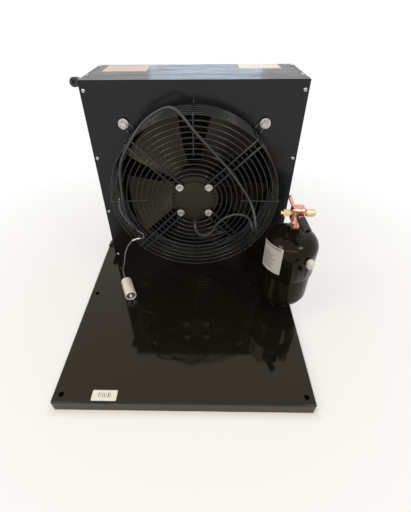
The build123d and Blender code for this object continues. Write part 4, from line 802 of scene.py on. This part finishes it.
def add_patch(bm, shares, lift, thick, steps):
    """A curved patch on the receiver's label area, between shares of its width and height."""
    low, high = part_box("receiver_upper_shell")
    radius = (high.x - low.x) / 2 + lift
    first, last = RECEIVER_LABEL_ANGLES
    bottom, top = RECEIVER_LABEL_HEIGHTS
    start, end = (math.radians(first + (last - first) * share) for share in shares[:2])
    x, y = radius * math.cos(start), radius * math.sin(start)
    part = bmesh.new()
    verts = [part.verts.new((x, y, bottom + (top - bottom) * share)) for share in shares[2:]]
    spun(part, [*verts, part.edges.new(verts)], steps, end - start)
    bmesh.ops.recalc_face_normals(part, faces=part.faces)
    bmesh.ops.solidify(part, geom=part.faces[:], thickness=thick)
    join(bm, part, moved((low.x + high.x) / 2, (low.y + high.y) / 2))


def make_receiver_label():
    """A curved data label on the receiver, with grey bars in place of wording."""
    bm = bmesh.new()
    add_patch(bm, (0, 1, 0, 1), 0.0003, 0.0002, 16)
    piece("receiver_label_look", bm, "Grey label", "white_plastic", 60)
    bm = bmesh.new()
    for begin, end, height, tall in RECEIVER_BARS:
        add_patch(bm, (begin, end, height - tall, height + tall), 0.00045, 0.0001, 6)
    piece("receiver_label_bars_look", bm, "Print", "black_sheet", 60)


SIDE_CAP_SIZE = (0.0172, 0.0262, 0.0165)
SIDE_CAP_ROUNDING = 0.0072


def make_side_cap():
    """The soft transport cap on the receiver's side stub, rounded all over."""
    low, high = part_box("side_port_cap")
    shell_low, shell_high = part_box("receiver_upper_shell")
    centre, axis = (low + high) / 2, (shell_low + shell_high) / 2
    out = Vector((centre.x - axis.x, centre.y - axis.y, 0)).normalized()
    up = Vector((0, 0, 1))
    block, bm = bmesh.new(), bmesh.new()
    add_block(block, SIDE_CAP_SIZE)
    bevelled(block, block.edges[:], SIDE_CAP_ROUNDING, 7)
    join(bm, block, Matrix.Translation(centre) @ Matrix((up.cross(out), up, out)).transposed().to_4x4())
    piece("side_port_cap_look", bm, "Cap plastic", "white_plastic", 50, "side_port_cap")


# ---------------------------------------------------------------- capacitor and splice
CAPACITOR_CENTRE = Vector((-0.178, -0.0055, 0.01605))
CAPACITOR_TURN = 22.4
CAN_RADIUS, CAN_HALF = 0.016, 0.034
CAN_BASE = CAN_HALF - 0.004
STUD_ROOT, STUD_CREST, THREAD_PITCH, THREADS = 0.0036, 0.004, 0.001, 9


def make_capacitor():
    """The moulded can with its parting bead, recessed end, end disc and threaded stud."""
    place = Matrix.Translation(CAPACITOR_CENTRE) @ turned_by(CAPACITOR_TURN, "Z") @ FRONTWARDS
    r, half = CAN_RADIUS, CAN_HALF
    can = [(0, -half - 0.004), (0.0034, -half - 0.004), (0.004, -half - 0.0036), (0.0058, -half),
           (r - 0.0022, -half), (r - 0.0008, -half + 0.0007), (r - 0.0001, -half + 0.0022),
           (r - 0.0001, half - 0.0035), (r - 0.0004, half - 0.0032), (r, half - 0.0026), (r, half - 0.0009),
           (r - 0.0005, half - 0.0002), (r - 0.001, half), (r - 0.002, half), (r - 0.0023, half - 0.0004),
           (r - 0.0025, CAN_BASE), (0, CAN_BASE)]
    bm = bmesh.new()
    add_turned(bm, can, place, 64)
    piece("capacitor_case_look", bm, "White plastic", "white_plastic", 32, "capacitor_case")
    thread = [(0.0042, CAN_BASE + 0.001)]
    for i in range(THREADS):
        z = CAN_BASE + 0.0012 + i * THREAD_PITCH
        thread += [(STUD_ROOT, z), (STUD_CREST, z + THREAD_PITCH / 2)]
    thread += [(STUD_ROOT, CAN_BASE + 0.0104), (0.0028, CAN_BASE + 0.011), (0, CAN_BASE + 0.011)]
    disc = [(0, CAN_BASE), (r - 0.0031, CAN_BASE), (r - 0.003, CAN_BASE + 0.0007),
            (r - 0.0034, CAN_BASE + 0.001)]
    bm = bmesh.new()
    add_turned(bm, disc + thread, place, 40)
    piece("capacitor_end_look", bm, "Zinc plate", "zinc_steel", 32, "capacitor_end_disc")


SLEEVE_TOP, SLEEVE_LOW = Vector((-0.1556, 0.0503, 0.2114)), Vector((-0.1428, 0.0503, 0.1900))
SLEEVE_DEEP, SLEEVE_WIDE, SLEEVE_ROUNDING, SLEEVE_RIM = 0.008, 0.0136, 0.0038, 0.0007
CRIMPS = {"splice": (Vector((-0.136, 0.051, 0.158)), Vector((-0.145, 0.051, 0.1566))),
          "capacitor": (Vector((-0.1575, 0.051, 0.1505)), Vector((-0.1485, 0.051, 0.1554)))}
CRIMP_NECK, CRIMP_COLLAR, CRIMP_LINK = 0.0021, 0.0026, 0.0014


def make_splice():
    """The flat heat-shrunk sleeve and the two crimp connectors, as (sleeve, splice end, capacitor end)."""
    block, bm = bmesh.new(), bmesh.new()
    along = SLEEVE_TOP - SLEEVE_LOW
    add_block(block, (SLEEVE_DEEP, SLEEVE_WIDE, along.length))
    upright = [e for e in block.edges if rise(e) > 0.01]
    bevelled(block, upright, SLEEVE_ROUNDING, 6)
    bevelled(block, sharp_edges(block, 60), SLEEVE_RIM)
    join(bm, block, Matrix.Translation((SLEEVE_TOP + SLEEVE_LOW) / 2) @ aim(along))
    sleeve = piece("splice_sleeve_look", bm, "Black rubber", "black_rubber", 35, "splice_sleeve")
    meet = CRIMPS["capacitor"][1]
    halves = []
    for lead, (a, b) in CRIMPS.items():
        n = (b - a).length
        bm = bmesh.new()
        neck, collar = CRIMP_NECK, CRIMP_COLLAR
        crimp = [(0, 0), (neck, 0), (collar, 0.0005), (collar, n * 0.3), (neck, n * 0.38),
                 (neck, n * 0.62), (collar, n * 0.7), (collar, n - 0.0005), (neck, n), (0, n)]
        add_turned(bm, crimp, Matrix.Translation(a) @ aim(b - a), 24)
        if lead == "splice":
            add_prism(bm, 16, CRIMP_LINK, (meet - b).length, Matrix.Translation(b) @ aim(meet - b))
        replaced = ("lead_connectors",) if lead == "splice" else ()
        halves.append(piece(f"{lead}_connector_look", bm, "Conductor", "zinc_steel", 35, *replaced))
    return sleeve, *halves


# ---------------------------------------------------------------- cords
# diameter, finish, record slot and route
CORDS = {
    "motor_lead": (0.0066, "Cable", "cable_grey", [
        (0.0198, 0.0678, 0.2053), (0.0200, 0.0620, 0.2038), (0.0203, 0.0568, 0.2009),
        (0.0209, 0.0525, 0.1967), (0.0220, 0.0493, 0.1917), (0.0243, 0.0473, 0.1863),
        (0.0287, 0.0463, 0.1794), (0.0357, 0.0467, 0.1737), (0.0443, 0.0479, 0.1710),
        (0.0536, 0.0494, 0.1718), (0.0622, 0.0506, 0.1764), (0.0700, 0.0510, 0.1864),
        (0.0770, 0.0510, 0.2025), (0.0890, 0.0510, 0.2175), (0.1040, 0.0510, 0.2295),
        (0.1250, 0.0510, 0.2385), (0.1430, 0.0510, 0.2375), (0.1588, 0.0503, 0.2322),
        (0.1681, 0.0493, 0.2185), (0.1722, 0.0412, 0.2078), (0.1750, 0.0295, 0.2033),
        (0.1767, 0.0170, 0.2056), (0.1772, 0.0074, 0.2142), (0.1767, 0.0036, 0.2264),
        (0.1753, 0.0067, 0.2388), (0.1731, 0.0192, 0.2511), (0.1705, 0.0330, 0.2610),
        (0.1655, 0.0430, 0.2730), (0.1550, 0.0500, 0.2910), (0.1370, 0.0520, 0.3180),
        (0.1090, 0.0520, 0.3570), (0.0710, 0.0520, 0.4010), (0.0380, 0.0510, 0.4360),
        (0.0160, 0.0510, 0.4620), (0.0010, 0.0540, 0.4800), (-0.0120, 0.0610, 0.4930),
        (-0.0260, 0.0700, 0.4990), (-0.0420, 0.0770, 0.4970), (-0.0630, 0.0800, 0.4870),
        (-0.0860, 0.0740, 0.4740), (-0.1030, 0.0620, 0.4590), (-0.1180, 0.0520, 0.4400),
        (-0.1350, 0.0485, 0.4150), (-0.1510, 0.0510, 0.3890), (-0.1600, 0.0520, 0.3580),
        (-0.1630, 0.0526, 0.3220), (-0.1645, 0.0529, 0.2880), (-0.1660, 0.0541, 0.2560),
        (-0.1630, 0.0540, 0.2300), (-0.1556, 0.0534, 0.2114)]),
    "supply_tail": (0.0054, "Tail cable", "cable_grey", [
        (-0.1556, 0.0472, 0.2114), (-0.1640, 0.0470, 0.2255), (-0.1710, 0.0465, 0.2430),
        (-0.1750, 0.0465, 0.2640), (-0.1720, 0.0470, 0.2860)]),
    "splice_lead": (0.0028, "Thin wire", "wire_grey", [
        (-0.1428, 0.0503, 0.1900), (-0.1385, 0.0504, 0.1830), (-0.1253, 0.0505, 0.1763),
        (-0.1227, 0.0508, 0.1675), (-0.1247, 0.0509, 0.1616), (-0.1298, 0.0510, 0.1580),
        (-0.1360, 0.0510, 0.1580)]),
    "capacitor_lead": (0.0032, "Thin wire", "wire_grey", [
        (-0.1925, 0.0296, 0.0160), (-0.1944, 0.0343, 0.0160), (-0.1979, 0.0425, 0.0173),
        (-0.2030, 0.0505, 0.0230), (-0.2035, 0.0530, 0.0320), (-0.2020, 0.0530, 0.0431),
        (-0.1950, 0.0520, 0.0620), (-0.1900, 0.0510, 0.0840), (-0.1850, 0.0510, 0.1050),
        (-0.1770, 0.0510, 0.1240), (-0.1680, 0.0510, 0.1400), (-0.1575, 0.0510, 0.1505)]),
}
BARE_END_RADIUS, BARE_END_LENGTH = 0.0019, 0.0012


def make_cord(node):
    """A lead along its route, as a tube round a smooth curve."""
    diameter, finish, record_slot, route = CORDS[node]
    curve = bpy.data.curves.new(f"{node}_cord", "CURVE")
    curve.dimensions = "3D"
    curve.bevel_depth = diameter / 2
    curve.bevel_resolution = 4
    curve.resolution_u = 6
    curve.use_fill_caps = True
    spline = curve.splines.new("NURBS")
    spline.points.add(len(route) - 1)
    for spot, at in zip(spline.points, route):
        spot.co = (*at, 1.0)
    spline.order_u = 3
    spline.use_endpoint_u = True
    obj = bpy.data.objects.new(f"{node}_cord", curve)
    bpy.context.scene.collection.objects.link(obj)
    curve.materials.append(material(finish))
    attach(obj, "chassis")
    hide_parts(node)
    return obj


def make_cords():
    sleeve, splice_end, capacitor_end = make_splice()
    ends = {"motor_lead": ("connector", [sleeve]), "supply_tail": ("bare", []),
            "splice_lead": ("connector", [splice_end]), "capacitor_lead": ("connector", [capacitor_end])}
    for node, (far_end, pieces) in ends.items():
        obj = make_cord(node)
    bm = bmesh.new()
    before, end = (Vector(at) for at in CORDS["supply_tail"][3][-2:])
    along = (end - before).normalized()
    place = Matrix.Translation(end - along * BARE_END_LENGTH / 2) @ aim(along)
    add_prism(bm, 16, BARE_END_RADIUS, BARE_END_LENGTH, place)
    piece("supply_tail_end_look", bm, "Conductor", "cable_grey", 35)


# ---------------------------------------------------------------- finishes on the CAD nodes
FINISHES = {
    "Base enamel": ("base_plate",),
    "Housing enamel": ("fan_panel", "left_end_plate", "right_side_panel", "right_tube_sheet"),
    "Roof enamel": ("top_panel",),
    "Guard enamel": ("guard_front_rings", "guard_side_rings", "guard_spokes", "guard_stays"),
    "Motor enamel": ("motor_end_shield", "rotor_can"),
    "Blade": ("impeller",),
    "Fin": ("coil_fin_pack",),
    "Copper": ("return_bends", "header_stubs", "dip_tube", "valve_union_nut", "valve_body", "outlet_tube",
               "tapping_tube", "side_port_tube"),
    "Brass": ("spindle_cap", "gauge_port_cap", "valve_plug"),
    "Vessel enamel": ("receiver_lower_shell", "receiver_upper_shell", "receiver_weld_bead", "receiver_foot",
                      "valve_boss", "earth_stud", "fusible_plug"),
    "Zinc plate": ("housing_foot_bolts", "guard_washers", "guard_bolts", "guard_nuts", "motor_washers",
                   "motor_bolts", "receiver_foot_nut", "receiver_foot_stud", "capacitor_end_disc",
                   "lead_connectors", "panel_screws"),
    "Bearing steel": ("bearing_outer_rings", "bearing_inner_rings", "motor_shaft", "valve_spindle"),
    "Lamination": ("stator_core", "rotor_cage"),
    "Winding": ("stator_windings",),
    "Black rubber": ("header_stub_caps", "outlet_tube_cap", "lead_gland", "splice_sleeve"),
    "Cap plastic": ("side_port_cap",),
    "White plastic": ("capacitor_case",),
    "Cable": ("motor_lead",),
    "Tail cable": ("supply_tail",),
    "Thin wire": ("splice_lead", "capacitor_lead"),
}
SOFT_EDGES = {
    "base_plate": 0.0007, "top_panel": 0.0007, "receiver_upper_shell": 0.0014, "receiver_weld_bead": 0.0006}
SOFT_ANGLE = 35


def soften(node, width):
    """Rounds a CAD node's edges by modifiers, with its mesh left alone."""
    weld = NODES[node].modifiers.new("Weld", "WELD")
    weld.merge_threshold = 1e-6
    bevel = NODES[node].modifiers.new("Edge", "BEVEL")
    bevel.width = width
    bevel.segments = 2
    bevel.limit_method = "ANGLE"
    bevel.angle_limit = math.radians(SOFT_ANGLE)
    bevel.harden_normals = True


def finish_nodes():
    for finish, nodes in FINISHES.items():
        for node in nodes:
            NODES[node].data.materials.clear()
            NODES[node].data.materials.append(material(finish))
    for node, width in SOFT_EDGES.items():
        soften(node, width)


# ---------------------------------------------------------------- stage
CAMERA_PLACE = (0.0457, -0.6731, 0.6909)
CAMERA_TURNS = ((1.38, "Z"), (50.56, "X"), (-0.61, "Z"))
CAMERA_LENS, CAMERA_SHIFT = 22.463, 0.0142
# half the sheet's side, where its whitening starts and ends, its least share of white, and how far past the
# plate, as a share of the plate's half, the whitening is full
FLOOR_REACH = 40.0
FLOOR_FADE = (0.45, 1.1)
FLOOR_WHITE = 0.6
FLOOR_EDGE = 1.06
FLOOR_COLOUR, FLOOR_ROUGHNESS = (0.80, 0.78, 0.74, 1.0), 0.8

# (height from the nadir to the zenith, colour) of the hall behind the unit and before it
REAR_HALL = ((0.0, (0.12, 0.11, 0.09)), (0.40, (0.25, 0.23, 0.19)), (0.52, (0.56, 0.55, 0.60)),
             (0.60, (0.52, 0.50, 0.52)), (0.75, (0.38, 0.35, 0.28)), (1.0, (0.95, 0.87, 0.70)))
FRONT_HALL = ((0.0, (0.22, 0.20, 0.15)), (0.28, (0.45, 0.45, 0.50)), (0.42, (0.78, 0.84, 1.0)),
              (0.5, (0.62, 0.63, 0.70)), (0.7, (0.7, 0.68, 0.64)), (1.0, (0.80, 0.75, 0.62)))

# place, target, size, power and colour
LAMPS = {
    "roof_window": ((0.05, 1.9, 0.95), (0.05, 0.2, 0.54), (0.8, 0.5), 1.3, (0.50, 0.70, 1.0)),
    "front_strip": ((0.0, -1.7, 1.5), (0.02, 0.05, 0.3), (1.5, 0.07), 5.0, (1.0, 0.98, 0.95)),
    "left_lamp": ((-1.5, -0.9, 1.9), (0.0, 0.0, 0.2), (0.7, 0.7), 15.0, (1.0, 0.97, 0.92)),
    "right_lamp": ((1.3, -1.0, 2.1), (0.1, 0.0, 0.2), (0.5, 0.5), 13.0, (1.0, 0.96, 0.9)),
}


def make_camera():
    camera = bpy.data.cameras.new("camera")
    camera.lens = CAMERA_LENS
    camera.sensor_width = 36.0
    camera.sensor_fit = "AUTO"
    camera.shift_x = CAMERA_SHIFT
    obj = bpy.data.objects.new("camera", camera)
    place = Matrix.Translation(CAMERA_PLACE)
    for degrees, axis in CAMERA_TURNS:
        place = place @ turned_by(degrees, axis)
    obj.matrix_world = place
    bpy.context.scene.collection.objects.link(obj)
    bpy.context.scene.camera = obj


def seen_directly(tree):
    """1 for rays that show the surroundings, to the camera, in gloss or through glass, and 0 for light."""
    path = tree.nodes.new("ShaderNodeLightPath").outputs
    mirrored = math_node(tree, "MAXIMUM", path["Is Glossy Ray"], path["Is Transmission Ray"])
    return math_node(tree, "MAXIMUM", path["Is Camera Ray"], mirrored)


def blend(tree, factor, first, second, output):
    mix = tree.nodes.new("ShaderNodeMixShader")
    for socket, value in zip(mix.inputs, (factor, first, second)):
        tree.links.new(value, socket)
    tree.links.new(mix.outputs[0], output)


def make_floor():
    """A pale sheet under the unit that turns to plain white away from it and keeps the unit's shadow."""
    low, high = CAD_BOUNDS
    mesh = bpy.data.meshes.new("floor")
    bm = bmesh.new()
    bmesh.ops.create_grid(bm, x_segments=1, y_segments=1, size=FLOOR_REACH)
    bmesh.ops.translate(bm, verts=bm.verts, vec=(0, 0, low.z))
    bm.to_mesh(mesh)
    bm.free()
    sheet = bpy.data.materials.new("Floor")
    sheet.use_nodes = True
    tree = sheet.node_tree
    shader = tree.nodes["Principled BSDF"]
    shader.inputs["Base Color"].default_value = FLOOR_COLOUR
    shader.inputs["Roughness"].default_value = FLOOR_ROUGHNESS
    shader.inputs["Specular IOR Level"].default_value = 0.0
    white = tree.nodes.new("ShaderNodeEmission")
    place = object_place(tree)
    away = tree.nodes.new("ShaderNodeVectorMath")
    away.operation = "LENGTH"
    tree.links.new(place, away.inputs[0])
    share = ranged(tree, away.outputs["Value"], *FLOOR_FADE, FLOOR_WHITE, 1.0)
    flat = axes(tree, place)
    across = math_node(tree, "DIVIDE", math_node(tree, "ABSOLUTE", flat["X"], 0.0), -low.x)
    along = math_node(tree, "DIVIDE", math_node(tree, "ABSOLUTE", flat["Y"], 0.0), high.y)
    outside = ranged(tree, math_node(tree, "MAXIMUM", across, along), 1.0, FLOOR_EDGE, 0.0, 1.0)
    bared = math_node(tree, "MULTIPLY", seen_directly(tree), math_node(tree, "MULTIPLY", share, outside))
    blend(tree, bared, shader.outputs[0], white.outputs[0], tree.nodes["Material Output"].inputs["Surface"])
    mesh.materials.append(sheet)
    floor = bpy.data.objects.new("floor", mesh)
    bpy.context.scene.collection.objects.link(floor)


def hall_colours(tree, height, stops):
    node = tree.nodes.new("ShaderNodeValToRGB")
    elements = node.color_ramp.elements
    while len(elements) < len(stops):
        elements.new(1.0)
    for element, (spot, shade) in zip(elements, stops):
        element.position = spot
        element.color = (*shade, 1.0)
    tree.links.new(height, node.inputs["Fac"])
    return node.outputs["Color"]


def make_world():
    """An uneven hall that lights the unit, in whose stead the camera, gloss and glass see plain white."""
    world = bpy.data.worlds.new("hall")
    world.use_nodes = True
    tree = world.node_tree
    tree.nodes.clear()
    way = axes(tree, tree.nodes.new("ShaderNodeTexCoord").outputs["Generated"])
    height = ranged(tree, way["Z"], -1.0, 1.0, 0.0, 1.0)
    rear, front = hall_colours(tree, height, REAR_HALL), hall_colours(tree, height, FRONT_HALL)
    glow, white = (tree.nodes.new("ShaderNodeBackground") for _ in range(2))
    side = ranged(tree, way["Y"], -0.35, 0.35, 0.0, 1.0)
    tree.links.new(mixed(tree, side, front, rear), glow.inputs["Color"])
    white.inputs["Color"].default_value = (1.0, 1.0, 1.0, 1.0)
    out = tree.nodes.new("ShaderNodeOutputWorld")
    blend(tree, seen_directly(tree), glow.outputs[0], white.outputs[0], out.inputs["Surface"])
    bpy.context.scene.world = world


def make_lamps():
    for name, (place, target, size, power, shade) in LAMPS.items():
        lamp = bpy.data.lights.new(name, "AREA")
        lamp.shape = "RECTANGLE"
        lamp.size, lamp.size_y = size
        lamp.energy = power
        lamp.color = shade
        obj = bpy.data.objects.new(name, lamp)
        way = Vector(target) - Vector(place)
        obj.matrix_world = Matrix.Translation(place) @ way.to_track_quat("-Z", "Y").to_matrix().to_4x4()
        bpy.context.scene.collection.objects.link(obj)


# ---------------------------------------------------------------- operators and panel
class CONDENSINGSET_OT_stage(bpy.types.Operator):
    """Set up the camera, the floor, the surroundings and the lamps"""

    bl_idname = "condensing_set.stage"
    bl_label = "Stage"

    def execute(self, context):
        context.scene.view_settings.view_transform = "Standard"
        make_camera()
        make_floor()
        make_world()
        make_lamps()
        return {"FINISHED"}


class CONDENSINGSET_OT_cords(bpy.types.Operator):
    """Lay the motor lead, the supply tail and the capacitor's wires with their splices"""

    bl_idname = "condensing_set.cords"
    bl_label = "Cords"

    def execute(self, context):
        make_cords()
        return {"FINISHED"}


class CONDENSINGSET_OT_finishes(bpy.types.Operator):
    """Give every CAD piece its paint, metal or plastic"""

    bl_idname = "condensing_set.finishes"
    bl_label = "Finishes"

    def execute(self, context):
        finish_nodes()
        return {"FINISHED"}


class CONDENSINGSET_OT_guard(bpy.types.Operator):
    """Build the wire guard's rings, spokes and stays"""

    bl_idname = "condensing_set.guard"
    bl_label = "Wire Guard"

    def execute(self, context):
        make_guard_rings()
        make_guard_spokes()
        return {"FINISHED"}


class CONDENSINGSET_OT_fasteners(bpy.types.Operator):
    """Build the bolts, washers and screws that show"""

    bl_idname = "condensing_set.fasteners"
    bl_label = "Fasteners"

    def execute(self, context):
        make_guard_bolts()
        make_motor_bolts()
        make_screws()
        return {"FINISHED"}


class CONDENSINGSET_OT_coil(bpy.types.Operator):
    """Build the coil's fins, tubes and return bends, and the dark discs of painted shade in its transport
    caps' holes
    """

    bl_idname = "condensing_set.coil"
    bl_label = "Coil"

    def execute(self, context):
        make_fins()
        make_bends()
        make_bore_shades()
        return {"FINISHED"}


class CONDENSINGSET_OT_capacitor(bpy.types.Operator):
    """Build the capacitor with its end disc and stud"""

    bl_idname = "condensing_set.capacitor"
    bl_label = "Capacitor"

    def execute(self, context):
        make_capacitor()
        return {"FINISHED"}


class CONDENSINGSET_OT_labels(bpy.types.Operator):
    """Stick the blank labels on the roof, the plate and the receiver, and cap the receiver's side stub"""

    bl_idname = "condensing_set.labels"
    bl_label = "Labels"

    def execute(self, context):
        make_flat_labels()
        make_receiver_label()
        make_side_cap()
        return {"FINISHED"}


OPERATORS = (
    CONDENSINGSET_OT_stage, CONDENSINGSET_OT_cords, CONDENSINGSET_OT_finishes, CONDENSINGSET_OT_guard,
    CONDENSINGSET_OT_fasteners, CONDENSINGSET_OT_coil, CONDENSINGSET_OT_capacitor, CONDENSINGSET_OT_labels,
)


class CONDENSINGSET_PT_build(bpy.types.Panel):
    bl_idname = "CONDENSINGSET_PT_build"
    bl_label = "Condensing Set"
    bl_space_type = "VIEW_3D"
    bl_region_type = "UI"
    bl_category = "Condensing Set"

    def draw(self, context):
        for name in CondensingSetLook.__annotations__:
            self.layout.prop(look(), name)
        for operator in OPERATORS:
            self.layout.operator(operator.bl_idname)


CLASSES = (CondensingSetLook, *OPERATORS, CONDENSINGSET_PT_build)


def register():
    for each in CLASSES:
        bpy.utils.register_class(each)
    bpy.types.Scene.condensing_set = bpy.props.PointerProperty(type=CondensingSetLook)


def unregister():
    del bpy.types.Scene.condensing_set
    for each in reversed(CLASSES):
        bpy.utils.unregister_class(each)


def main():
    register()
    bpy.ops.condensing_set.stage()
    bpy.ops.condensing_set.cords()
    bpy.ops.condensing_set.finishes()
    bpy.ops.condensing_set.guard()
    bpy.ops.condensing_set.fasteners()
    bpy.ops.condensing_set.coil()
    bpy.ops.condensing_set.capacitor()
    bpy.ops.condensing_set.labels()


if __name__ == "__main__":
    main()
